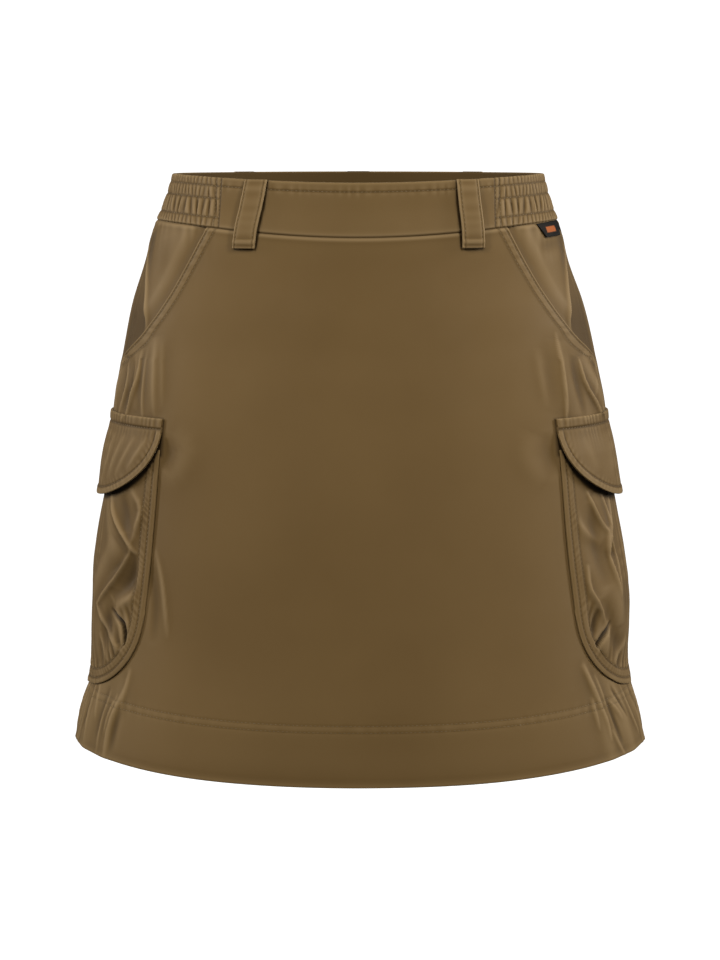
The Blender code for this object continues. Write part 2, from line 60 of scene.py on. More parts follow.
# %% Camera
CAMERA_DISTANCE = 2.1
CAMERA_HEIGHT = 0.0468
CAMERA_PITCH = 7.05          # degrees below the horizon
LENS_PIXELS = 2763.0         # focal length, in pixels of a picture 960 high
PICTURE_HEIGHT = 960.0
SENSOR_HEIGHT = 36.0         # mm

scene = bpy.context.scene
camera_data = bpy.data.cameras.new("camera")
camera_data.sensor_fit = "VERTICAL"
camera_data.sensor_height = SENSOR_HEIGHT
camera_data.lens = LENS_PIXELS / PICTURE_HEIGHT * SENSOR_HEIGHT
camera = bpy.data.objects.new("camera", camera_data)
camera.location = (0.0, -CAMERA_DISTANCE, CAMERA_HEIGHT)
camera.rotation_euler = (np.radians(90.0 - CAMERA_PITCH), 0.0, 0.0)
scene.collection.objects.link(camera)
scene.camera = camera
scene.view_settings.view_transform = "Standard"
print("lens", round(camera_data.lens, 1), "mm")

# %% [markdown]
# ## Naming a point of the cloth
#
# A tailor finds a place on a skirt by how far round it lies and how high. So does this notebook:
# `around` is the distance in mm from the centre front, plus to the wearer's left, and `height` is
# measured from the middle of the waist. A short table of level sections, read with a smooth
# cubic, turns the two into a point, and `out` moves that point away from the body. Creases,
# seams and stitches can then all be given in plain tailor's distances.

# %% The body of the skirt
Section = namedtuple("Section", "height half_width front_depth back_depth sway")
SECTIONS = (              # mm; sway: how far the middle hangs towards the wearer's left
    Section(-420, 220.5, 156.5, 152.5, 0.3),
    Section(-400, 216.5, 154.8, 151.5, 0.2),
    Section(-385, 213.0, 153.0, 150.5, 0.1),
    Section(-360, 205.8, 150.0, 148.5, 0.0),
    Section(-330, 200.0, 146.2, 146.0, 0.0),
    Section(-290, 195.2, 142.0, 143.0, 0.0),
    Section(-250, 191.6, 138.2, 140.0, -0.2),
    Section(-215, 189.6, 134.6, 137.2, -0.2),
    Section(-185, 188.5, 131.0, 134.0, -0.2),
    Section(-155, 187.3, 127.0, 131.0, -0.4),
    Section(-125, 181.7, 123.0, 127.5, -0.8),
    Section(-105, 177.7, 120.0, 124.0, -1.0),
    Section(-75, 170.7, 116.0, 118.5, -1.7),
    Section(-45, 160.3, 111.0, 112.5, -2.4),
    Section(-20, 153.6, 107.0, 107.5, -2.2),
    Section(0, 144.7, 103.0, 103.5, -1.7),
    Section(24, 138.4, 99.5, 100.5, -1.3),
)
ANGLES = np.radians(np.linspace(0.0, 180.0, 121))    # from the centre front to the centre back


def column(table, name):
    """One named column of a table as an array."""
    return np.array([getattr(row, name) for row in table], dtype=float)


def cubic(t, start, end, leave, arrive):
    """Hermite's cubic from start to end, which keeps the slopes given at both of them."""
    return ((1 + 2 * t) * (1 - t) ** 2 * start + t * t * (3 - 2 * t) * end
            + t * (1 - t) ** 2 * leave + t * t * (t - 1) * arrive)


def smooth_read(table, name, height):
    """A column read at any height: a cubic between two rows that keeps the slope at each row."""
    heights = column(table, "height")
    values = column(table, name)
    slopes = np.gradient(values, heights)
    height = np.clip(height, heights[0], heights[-1])
    row = np.clip(np.searchsorted(heights, height) - 1, 0, len(heights) - 2)
    span = heights[row + 1] - heights[row]
    t = (height - heights[row]) / span
    return cubic(t, values[row], values[row + 1], span * slopes[row], span * slopes[row + 1])


def ease(t):
    """0 below 0, 1 above 1, and the smooth step 3tt - 2ttt between."""
    t = np.clip(t, 0.0, 1.0)
    return t * t * (3 - 2 * t)


def bell(distance, width):
    """A bell curve, exp(-(distance / width) ** 2)."""
    return np.exp(-(distance / width) ** 2)


def distances_round(height):
    """Length of the level section from the centre front to each of ANGLES, at each height."""
    half_width = smooth_read(SECTIONS, "half_width", height)[..., None]
    front = smooth_read(SECTIONS, "front_depth", height)[..., None]
    back = smooth_read(SECTIONS, "back_depth", height)[..., None]
    depth = np.where(np.cos(ANGLES) > 0, front, back)
    step = np.hypot(np.diff(half_width * np.sin(ANGLES)), np.diff(depth * np.cos(ANGLES)))
    return np.concatenate([np.zeros(step.shape[:-1] + (1,)), np.cumsum(step, axis=-1)], axis=-1)


MEASURED = np.linspace(-430.0, 30.0, 461)            # heights at which the way round is measured
WAYS_ROUND = distances_round(MEASURED)


def quarter(height):
    """Way round from the centre front to the widest point at the side."""
    return np.interp(height, MEASURED, WAYS_ROUND[:, len(ANGLES) // 2])


def half(height):
    """Way round from the centre front to the centre back."""
    return np.interp(height, MEASURED, WAYS_ROUND[:, -1])


def cloth(around, height, out):
    """Points of the cloth: an ellipse point (w sin a, -d cos a), moved `out` along its normal.

    The angle a is where the length of the section reaches `around`.
    """
    around, height, out = np.broadcast_arrays(*[np.asarray(v, float) for v in (around, height, out)])
    lengths = distances_round(height)
    side = np.where(around < 0, -1.0, 1.0)
    distance = np.abs(around)
    past_back = distance > lengths[..., -1]
    distance = np.where(past_back, 2 * lengths[..., -1] - distance, distance)
    side = np.where(past_back, -side, side)
    low = np.clip((lengths <= distance[..., None]).sum(axis=-1) - 1, 0, len(ANGLES) - 2)
    near = np.take_along_axis(lengths, low[..., None], axis=-1)[..., 0]
    far = np.take_along_axis(lengths, low[..., None] + 1, axis=-1)[..., 0]
    angle = ANGLES[low] + (distance - near) / (far - near) * (ANGLES[1] - ANGLES[0])
    half_width = smooth_read(SECTIONS, "half_width", height)
    depth = np.where(np.cos(angle) > 0, smooth_read(SECTIONS, "front_depth", height),
                     smooth_read(SECTIONS, "back_depth", height))
    normal_x = depth * np.sin(angle)
    normal_y = -half_width * np.cos(angle)
    size = np.hypot(normal_x, normal_y)
    x = half_width * np.sin(angle) + out * normal_x / size
    y = -depth * np.cos(angle) + out * normal_y / size
    x = side * x + smooth_read(SECTIONS, "sway", height)
    return np.stack([x, y, height], axis=-1)


print("waist", round(2 * half(0.0)), "mm round, hem", round(2 * half(-416.0)), "mm round")

# %% Where the pieces meet
SEAM_GAP = 0.3            # between two pieces that are sewn together
WAIST_TOP = 20.0
WAIST_FRONT_DIP = 5.8     # how far the top edge drops at the centre front
WAIST_SEAM = -13.7
SEAM_FRONT_DIP = 10.4
HEM_FRONT = -416.6
HEM_SIDE_RISE = 6.0
WAIST_QUARTER = 196.0
HEM_QUARTER = 296.0
SIDE_SEAM_FORWARD = 24.0  # the side seam lies so far in front of the widest point

SlantPoint = namedtuple("SlantPoint", "height around")
SLANT_EDGE = (            # the open edge of the slanted hand pocket
    SlantPoint(-116, 216),
    SlantPoint(-110, 203),
    SlantPoint(-101, 185),
    SlantPoint(-87, 168),
    SlantPoint(-69, 151),
    SlantPoint(-44, 133),
    SlantPoint(-16, 115),
)


def centre_dip(around):
    """1 at the centre front, falling as a squared cosine to 0 at the side."""
    return np.cos(np.clip(np.abs(around) / WAIST_QUARTER, 0.0, 1.0) * np.pi / 2) ** 2


def waist_top(around):
    """Top edge of the waistband, which dips at the centre front."""
    return WAIST_TOP - WAIST_FRONT_DIP * centre_dip(around)


def waist_seam(around):
    """Seam between waistband and skirt; it dips more than the top edge."""
    return WAIST_SEAM - SEAM_FRONT_DIP * centre_dip(around)


def hem(around):
    """Lower edge of the skirt: it rises a little towards each side."""
    return HEM_FRONT + HEM_SIDE_RISE * np.sin(np.abs(around) / HEM_QUARTER * np.pi / 2) ** 4


def side_seam(height):
    """Way round to the side seam, a fixed distance before the widest point."""
    return quarter(height) - SIDE_SEAM_FORWARD


def slant_edge(height):
    """Way round to the slanted pocket edge, and below its end to the side seam."""
    seam = side_seam(height)
    slant = np.minimum(smooth_read(SLANT_EDGE, "around", height), seam)
    return np.where(height < SLANT_EDGE[0].height, seam, slant)


def signed(around, height):
    """The same place named from the nearer side: a way past the centre back becomes negative."""
    whole = 2 * half(height)
    return np.where(around > whole / 2, around - whole, around)


# %% [markdown]
# ## From two grids to a closed shell
#
# Cloth has a face, a back and a folded edge. A Solidify modifier could add the back, but its edge
# is square, and a square edge looks like card. So the shell is built directly: a grid of points
# for the face, a grid for the back, and three rings of points that carry the edge round on half
# an ellipse. Each vertex keeps its tailor's distances as a UV map in metres, which later turns
# the weave with the cloth. It also keeps a few marks for the finish to read, mostly painted light:
# a painted highlight along folded edges, painted shade in stitched ditches, a painted shadow under
# another piece, a painted highlight on crests and painted shade in valleys, and painted shade on
# the inside of the garment.

# %% Shell helpers
EDGE_RINGS = 3
FINE_REACH = 2.5          # mm over which the cloth is smoothed for the relief marks
BROAD_REACH = 9.0
FINE_RELIEF = 0.45        # mm of relief that give a strong mark
BROAD_RELIEF = 2.2


def spaced(stops):
    """Grid places whose spacing follows a short table of (place, spacing)."""
    places, steps = np.array(stops, float).T
    fine = np.linspace(places[0], places[-1], 6001)
    density = 1 / np.interp(fine, places, steps)
    count = np.concatenate([[0.0], np.cumsum((density[1:] + density[:-1]) / 2 * np.diff(fine))])
    return np.interp(np.linspace(0, count[-1], int(np.ceil(count[-1])) + 1), count, fine)


def border(rows, columns):
    """Grid indices once round the border: along the first row, down, back and up again."""
    index = np.arange(rows * columns).reshape(rows, columns)
    return np.concatenate([index[0, :-1], index[:-1, -1], index[-1, :0:-1], index[:0:-1, 0]])


def outward(face):
    """Unit direction that points out of the cloth, in its own surface, all round the border."""
    lean = np.zeros_like(face)
    lean[0] += unit(face[0] - face[1])
    lean[-1] += unit(face[-1] - face[-2])
    lean[:, 0] += unit(face[:, 0] - face[:, 1])
    lean[:, -1] += unit(face[:, -1] - face[:, -2])
    return unit(lean.reshape(-1, 3)[border(*face.shape[:2])])


def unit(vectors):
    """Each vector divided by its own length."""
    return vectors / np.maximum(np.linalg.norm(vectors, axis=-1, keepdims=True), 1e-9)


def surface_normals(points):
    """Unit normals of a grid; outward where its rows go down and its columns to the left."""
    return unit(np.cross(np.gradient(points, axis=0), np.gradient(points, axis=1)))


def smoothed(points, reach):
    """The grid's points, averaged along both directions under a bell curve `reach` mm wide."""
    for axis in (0, 1):
        step = np.linalg.norm(np.diff(points, axis=axis), axis=-1).mean(axis=1 - axis)
        place = np.concatenate([[0.0], np.cumsum(step)])
        weight = bell(place[:, None] - place, reach) * np.gradient(place)
        weight /= weight.sum(axis=1, keepdims=True)
        points = np.moveaxis(np.tensordot(weight, points, (1, axis)), 0, axis)
    return points


def crest_mark(face, back):
    """Height over the smoothed cloth around: near +1 on a crest and near -1 in a valley, for a painted
    highlight on crests and painted shade in valleys.
    """
    normal = surface_normals(face)
    normal = normal * np.sign((normal * (face - back)).sum())
    fine = ((face - smoothed(face, FINE_REACH)) * normal).sum(axis=-1)
    broad = ((face - smoothed(face, BROAD_REACH)) * normal).sum(axis=-1)
    return np.tanh(fine / FINE_RELIEF + broad / BROAD_RELIEF)


def new_piece(name, points, faces, material):
    """A smooth mesh object from points in mm."""
    mesh = bpy.data.meshes.new(name)
    mesh.from_pydata((points * MM).tolist(), [], faces)
    mesh.materials.append(material)
    mesh.shade_smooth()
    piece = bpy.data.objects.new(name, mesh)
    scene.collection.objects.link(piece)
    return piece


def facing_out(points, quads):
    """The quads of a closed mesh, turned round where its volume comes out negative."""
    a, b, c, d = (points[quads[:, corner]] for corner in range(4))
    volume = (a * np.cross(b, c)).sum() + (a * np.cross(c, d)).sum()
    return quads[:, ::-1] if volume < 0 else quads


def cloth_shell(name, face, back, place, material, marks, fold=0.5):
    """A closed shell. Edge points are middle + (face - middle) cos t + outward * fold * sin t."""
    rows, columns = face.shape[:2]
    grid = rows * columns
    ring = border(rows, columns)
    flat_face, flat_back = face.reshape(-1, 3), back.reshape(-1, 3)
    middle = (flat_face[ring] + flat_back[ring]) / 2
    turn = np.linspace(0, np.pi, EDGE_RINGS + 2)[1:-1, None, None]
    rim = middle + (flat_face[ring] - middle) * np.cos(turn) + outward(face) * fold * np.sin(turn)
    points = np.concatenate([flat_face, flat_back, rim.reshape(-1, 3)])

    index = np.arange(grid).reshape(rows, columns)
    a, b, c, d = index[:-1, :-1], index[1:, :-1], index[1:, 1:], index[:-1, 1:]
    quads = [np.stack([a, b, c, d], -1).reshape(-1, 4),
             np.stack([a, d, c, b], -1).reshape(-1, 4) + grid]
    between = 2 * grid + np.arange(EDGE_RINGS * len(ring)).reshape(EDGE_RINGS, -1)
    rings = np.concatenate([ring[None], between, ring[None] + grid])
    after = np.roll(rings, -1, axis=1)
    quads.append(np.stack([rings[:-1], after[:-1], after[1:], rings[1:]], -1).reshape(-1, 4))
    piece = new_piece(name, points, facing_out(points, np.concatenate(quads)).tolist(), material)

    def everywhere(values):
        flat = np.broadcast_to(values, (rows, columns)).reshape(-1)
        return np.concatenate([flat, flat, np.tile(flat[ring], EDGE_RINGS)])

    mesh = piece.data
    corners = np.empty(len(mesh.loops), dtype=np.int32)
    mesh.loops.foreach_get("vertex_index", corners)
    cut = np.stack([everywhere(place[0]), everywhere(place[1])], axis=-1) * MM
    mesh.uv_layers.new(name="cut").data.foreach_set("uv", cut[corners].ravel())
    # Marks paint light on the face only: the whole back grid is marked for painted shade, and the relief
    # over the smoothed cloth paints highlights on crests and shade in valleys.
    inside = np.concatenate([np.zeros(grid), np.ones(grid), np.zeros(EDGE_RINGS * len(ring))])
    layers = {mark: everywhere(np.clip(values, 0, 1)) * (1 - inside) for mark, values in marks.items()}
    layers["crest"] = everywhere(crest_mark(face, back)) * (1 - inside)
    layers["inside"] = inside
    for mark, values in layers.items():
        layer = mesh.attributes.new(mark, "FLOAT", "POINT")
        layer.data.foreach_set("value", values.astype(np.float32))
    return piece


def ditch(distance, rows, width, depth):
    """Stitched lines pressed into the cloth: a sum of narrow bell curves at the given distances."""
    return -depth * sum(bell(distance - row, width) for row in rows)


def uneven(run, period, seed):
    """An irregular ripple along a seam: a sine whose step and height drift slowly."""
    drift = 1.4 * np.sin(run / period * 1.37 + seed) + 0.9 * np.sin(run / period * 0.61 + 2.3 * seed)
    height = 0.62 + 0.38 * np.sin(run / period * 0.83 + 1.7 * seed)
    return height * np.sin(2 * np.pi * run / period + drift)


print("a stitched line 1 mm wide is drawn by grid rows 0.7 mm apart")

# %% [markdown]
# ## Finishes
#
# The cloth is a closely woven stretch twill: smooth from a step away, with a soft silky light on
# every fold. Three things make it read as cloth and not as plastic: a bump of fine slanting twill
# lines, a colour that wanders a little from place to place, and a sheen that is only strong at
# grazing angles. On top of these, the marks on the mesh paint light into the colour: a painted
# highlight on folded edges and crests, and painted shade in ditches, valleys and under other
# pieces. Everything is a node pattern on the cut's own UV map or on Object coordinates, so it
# stays on the cloth from every side.

# %% Material helpers


class Finish:
    """A Principled material, with short calls that add and join its pattern nodes."""

    def __init__(self, name, roughness, sheen=0.0, sheen_tint=(1.0, 1.0, 1.0), specular=0.25):
        self.material = bpy.data.materials.new(name)
        self.material.use_nodes = True
        self.nodes = self.material.node_tree.nodes
        self.links = self.material.node_tree.links
        self.shader = self.nodes["Principled BSDF"]
        self.shader.inputs["Roughness"].default_value = roughness
        self.shader.inputs["Sheen Weight"].default_value = sheen
        self.shader.inputs["Sheen Roughness"].default_value = 0.35
        self.shader.inputs["Sheen Tint"].default_value = (*sheen_tint, 1.0)
        self.shader.inputs["Specular IOR Level"].default_value = specular
        self.shader.inputs["Specular Tint"].default_value = (1.0, 0.82, 0.58, 1.0)

    def node(self, kind, settings=None, **inputs):
        """A new node; settings are its own properties, and inputs are values or sockets."""
        node = self.nodes.new(kind)
        for name, value in (settings or {}).items():
            setattr(node, name, value)
        for name, value in inputs.items():
            key = int(name[1:]) if name[0] == "i" and name[1:].isdigit() else name.replace("_", " ")
            if isinstance(value, bpy.types.NodeSocket):
                self.links.new(value, node.inputs[key])
            else:
                node.inputs[key].default_value = value
        return node

    def noise(self, vector, scale, detail=3.0):
        node = self.node("ShaderNodeTexNoise", Vector=vector, Scale=scale, Detail=detail)
        return node.outputs["Fac"]

    def lines(self, vector, degrees, pitch):
        """Straight lines `pitch` metres apart, turned by `degrees`; 0 to 1 across each line."""
        turned = self.node("ShaderNodeMapping", Vector=vector, Rotation=(0.0, 0.0, np.radians(degrees)))
        wave = self.node("ShaderNodeTexWave", Vector=turned.outputs["Vector"], Scale=np.pi / 10 / pitch)
        return wave.outputs["Fac"]

    def math(self, operation, one, two):
        return self.node("ShaderNodeMath", {"operation": operation}, i0=one, i1=two).outputs["Value"]

    def total(self, *parts):
        """Sum of pattern sockets, each times its weight."""
        return reduce(partial(self.math, "ADD"), [self.math("MULTIPLY", *part) for part in parts])

    def mix(self, share, one, two):
        """Colour one + share * (two - one)."""
        mixed = self.node("ShaderNodeMix", {"data_type": "RGBA"}, i0=share, i6=one, i7=two)
        return mixed.outputs[2]

    def stretch(self, value, low, high, to_low=0.0, to_high=1.0):
        ranged = self.node("ShaderNodeMapRange", Value=value, From_Min=low, From_Max=high,
                           To_Min=to_low, To_Max=to_high)
        return ranged.outputs["Result"]

    def mark(self, name):
        return self.node("ShaderNodeAttribute", {"attribute_name": name}).outputs["Fac"]

    def bump(self, height, distance, strength=1.0):
        bump = self.node("ShaderNodeBump", Height=height, Distance=distance, Strength=strength)
        self.links.new(bump.outputs["Normal"], self.shader.inputs["Normal"])

    def colour(self, socket):
        self.links.new(socket, self.shader.inputs["Base Color"])


# %% Twill, knit, tape and thread
TWILL_PITCH = 0.0007      # metres between two slanting twill lines
TWILL_SLANT = 62.0
SHEEN = 0.19
SPECULAR = 0.20
THREAD_PITCH = 0.00042
RIB_PITCH = 0.0011
LOOP_PITCH = 0.0008
TAPE_PITCH = 0.0004
SKIRT_DARK = (0.122, 0.071, 0.0235, 1.0)
SKIRT_LIGHT = (0.150, 0.090, 0.0315, 1.0)
# Colours of painted light: a painted highlight for folded edges and crests, painted shade for ditches,
# valleys and the inside, and a near-black painted shadow under other pieces.
SKIRT_PAINTED_HIGHLIGHT = (0.230, 0.150, 0.062, 1.0)
SKIRT_PAINTED_CREST_HIGHLIGHT = (0.320, 0.216, 0.104, 1.0)
SKIRT_PAINTED_SHADE = (0.052, 0.029, 0.0095, 1.0)
SKIRT_PAINTED_SHADOW = (0.012, 0.006, 0.002, 1.0)
TwillMark = namedtuple("TwillMark", "name full cover colour")
# Every row paints light or shade into the cloth's colour where its mark is full.
TWILL_MARKS = (           # cover: how much of the cloth's colour goes where the mark is full
    TwillMark("worn", 1.0, 0.50, SKIRT_PAINTED_HIGHLIGHT),
    TwillMark("crest", 1.0, 0.60, SKIRT_PAINTED_CREST_HIGHLIGHT),
    TwillMark("crest", -1.0, 0.88, SKIRT_PAINTED_SHADE),
    TwillMark("deep", 1.0, 0.75, SKIRT_PAINTED_SHADE),
    TwillMark("inside", 1.0, 0.60, SKIRT_PAINTED_SHADE),
    TwillMark("gap", 1.0, 0.95, SKIRT_PAINTED_SHADOW),
)
SHORTS_DARK = (0.040, 0.028, 0.014, 1.0)
SHORTS_LIGHT = (0.062, 0.044, 0.022, 1.0)
TAPE_BLACKS = (0.003, 0.003, 0.003, 1.0), (0.008, 0.007, 0.007, 1.0)
TAPE_ORANGES = (0.32, 0.08, 0.022, 1.0), (0.46, 0.13, 0.036, 1.0)
THREAD_DARK = (0.110, 0.072, 0.030, 1.0)
THREAD_LIGHT = (0.190, 0.130, 0.058, 1.0)


def make_twill(title, dark, light):
    """Woven cloth: twill lines and thread noise as bump, wandering colour, and painted light from the
    marks.
    """
    finish = Finish(title, roughness=0.58, sheen=SHEEN, sheen_tint=(1.0, 0.78, 0.50), specular=SPECULAR)
    cut = finish.node("ShaderNodeUVMap", {"uv_map": "cut"}).outputs["UV"]
    place = finish.node("ShaderNodeTexCoord").outputs["Object"]
    twill = finish.lines(cut, TWILL_SLANT, TWILL_PITCH)
    weft = finish.lines(cut, 90.0, THREAD_PITCH)
    fibre = finish.noise(cut, 900.0, 2.0)
    cloud = finish.noise(place, 9.0, 4.0)
    weave = finish.total((twill, 0.6), (weft, 0.25), (fibre, 0.5))
    finish.bump(weave, 0.00006, 0.55)
    shade = finish.total((cloud, 0.75), (weave, 0.22))
    body = finish.mix(finish.stretch(shade, 0.30, 0.78), dark, light)
    # Paint the marks in: highlights on folded edges and crests, shade in ditches, valleys and the inside,
    # and shadow under other pieces.
    for name, full, cover, colour in TWILL_MARKS:
        body = finish.mix(finish.stretch(finish.mark(name), 0.0, full, 0.0, cover), body, colour)
    finish.colour(body)
    rough = finish.stretch(finish.noise(place, 30.0, 3.0), 0.3, 0.7, 0.56, 0.68)
    finish.links.new(rough, finish.shader.inputs["Roughness"])
    return finish.material


def make_knit(name, dark, light):
    """Plain knit for the shorts: fine upright ribs crossed by rows of loops."""
    finish = Finish(name, roughness=0.8, sheen=0.2, sheen_tint=(1.0, 0.9, 0.75))
    cut = finish.node("ShaderNodeUVMap", {"uv_map": "cut"}).outputs["UV"]
    place = finish.node("ShaderNodeTexCoord").outputs["Object"]
    ribs = finish.lines(cut, 0.0, RIB_PITCH)
    loops = finish.lines(cut, 90.0, LOOP_PITCH)
    knit = finish.total((ribs, 0.7), (loops, 0.4))
    finish.bump(knit, 0.00012, 0.7)
    shade = finish.total((finish.noise(place, 14.0, 4.0), 1.0), (knit, 0.2))
    finish.colour(finish.mix(finish.stretch(shade, 0.4, 0.95), dark, light))
    return finish.material


def make_tape():
    """The tab's woven tape: near black, with a plain orange bar where the mesh is marked."""
    finish = Finish("tab_tape", roughness=0.6, specular=0.10)
    cut = finish.node("ShaderNodeUVMap", {"uv_map": "cut"}).outputs["UV"]
    weave = finish.math("ADD", finish.lines(cut, 0.0, TAPE_PITCH), finish.lines(cut, 90.0, TAPE_PITCH))
    finish.bump(weave, 0.00004, 0.6)
    light = finish.stretch(weave, 0.0, 2.0)
    black, orange = finish.mix(light, *TAPE_BLACKS), finish.mix(light, *TAPE_ORANGES)
    finish.colour(finish.mix(finish.mark("bar"), black, orange))
    return finish.material


def make_thread(name, dark, light):
    """Sewing thread: a smooth twisted yarn, a little glossier than the cloth."""
    finish = Finish(name, roughness=0.45, sheen=0.3, sheen_tint=(1.0, 0.85, 0.65))
    place = finish.node("ShaderNodeTexCoord").outputs["Object"]
    finish.colour(finish.mix(finish.noise(place, 400.0, 2.0), dark, light))
    finish.bump(finish.noise(place, 2500.0, 1.0), 0.00005, 0.5)
    return finish.material


twill = make_twill("skirt_twill", SKIRT_DARK, SKIRT_LIGHT)
knit = make_knit("shorts_knit", SHORTS_DARK, SHORTS_LIGHT)
tape = make_tape()
thread = make_thread("khaki_thread", THREAD_DARK, THREAD_LIGHT)
print("finishes:", [m.name for m in (twill, knit, tape, thread)])

# %% [markdown]
# ## Creases
#
# Hung cloth creases where it is held, and each crease has its own length, width and lean. They
# are placed here, in a table, as a tailor would chalk them: a path of a few points in
# mm forward of the widest point and in mm of height. The relief is the distance to that path put
# through a bell curve, which fades towards both ends. A small `power` gives a sharp pinched line
# and a large one a soft swell, and `lean` makes one flank steeper than the other.

# %% Creases of the skirt
Crease = namedtuple("Crease", "rise half_width power lean path")
CREASE_DEPTH = 1.25       # mm that a rise of 1 stands out
WAVE_RISE = 0.35          # mm of the slow unevenness


def smooth_path(points, count=9):
    """The chalk points joined by one smooth curve (Catmull-Rom), read at `count` places."""
    points = np.array(points, float)
    t = np.linspace(0, len(points) - 1, count)
    slopes = np.gradient(points, axis=0)
    row = np.clip(t.astype(int), 0, len(points) - 2)
    return cubic((t - row)[:, None], points[row], points[row + 1], slopes[row], slopes[row + 1])


def chalked(*rows):
    """Creases from rows of rise, half width, power and lean, then the points of the path."""
    return [Crease(*row[:4], row[4:]) for row in rows]


def crease_relief(creases, forward, height):
    """Sum over the creases of rise * fade * exp(-(distance / half_width) ** power)."""
    forward, height = np.broadcast_arrays(forward, height)
    relief = np.zeros(forward.shape)
    for crease in creases:
        path = smooth_path(crease.path)
        reach = 3.2 * crease.half_width
        near = ((forward > path[:, 0].min() - reach) & (forward < path[:, 0].max() + reach)
                & (height > path[:, 1].min() - reach) & (height < path[:, 1].max() + reach))
        if not near.any():
            continue
        spot = np.stack([forward[near], height[near]], -1)[:, None]
        start, run = path[:-1], np.diff(path, axis=0)
        length = np.hypot(*run.T)
        t = np.clip(((spot - start) * run).sum(-1) / length ** 2, 0, 1)
        gap = spot - start - t[..., None] * run
        distance = np.hypot(gap[..., 0], gap[..., 1])
        best = distance.argmin(axis=1)
        pick = np.arange(len(best)), best
        side = np.sign(run[best, 0] * gap[pick][:, 1] - run[best, 1] * gap[pick][:, 0])
        along = (np.cumsum(length)[best] - length[best] * (1 - t[pick])) / length.sum()
        across = distance[pick] / crease.half_width
        fade = np.sin(np.pi * np.clip(along, 0.0, 1.0)) ** 0.85
        relief[near] += (CREASE_DEPTH * crease.rise * fade * np.exp(-across ** crease.power)
                         * (1 + crease.lean * np.tanh(side * across)))
    return relief


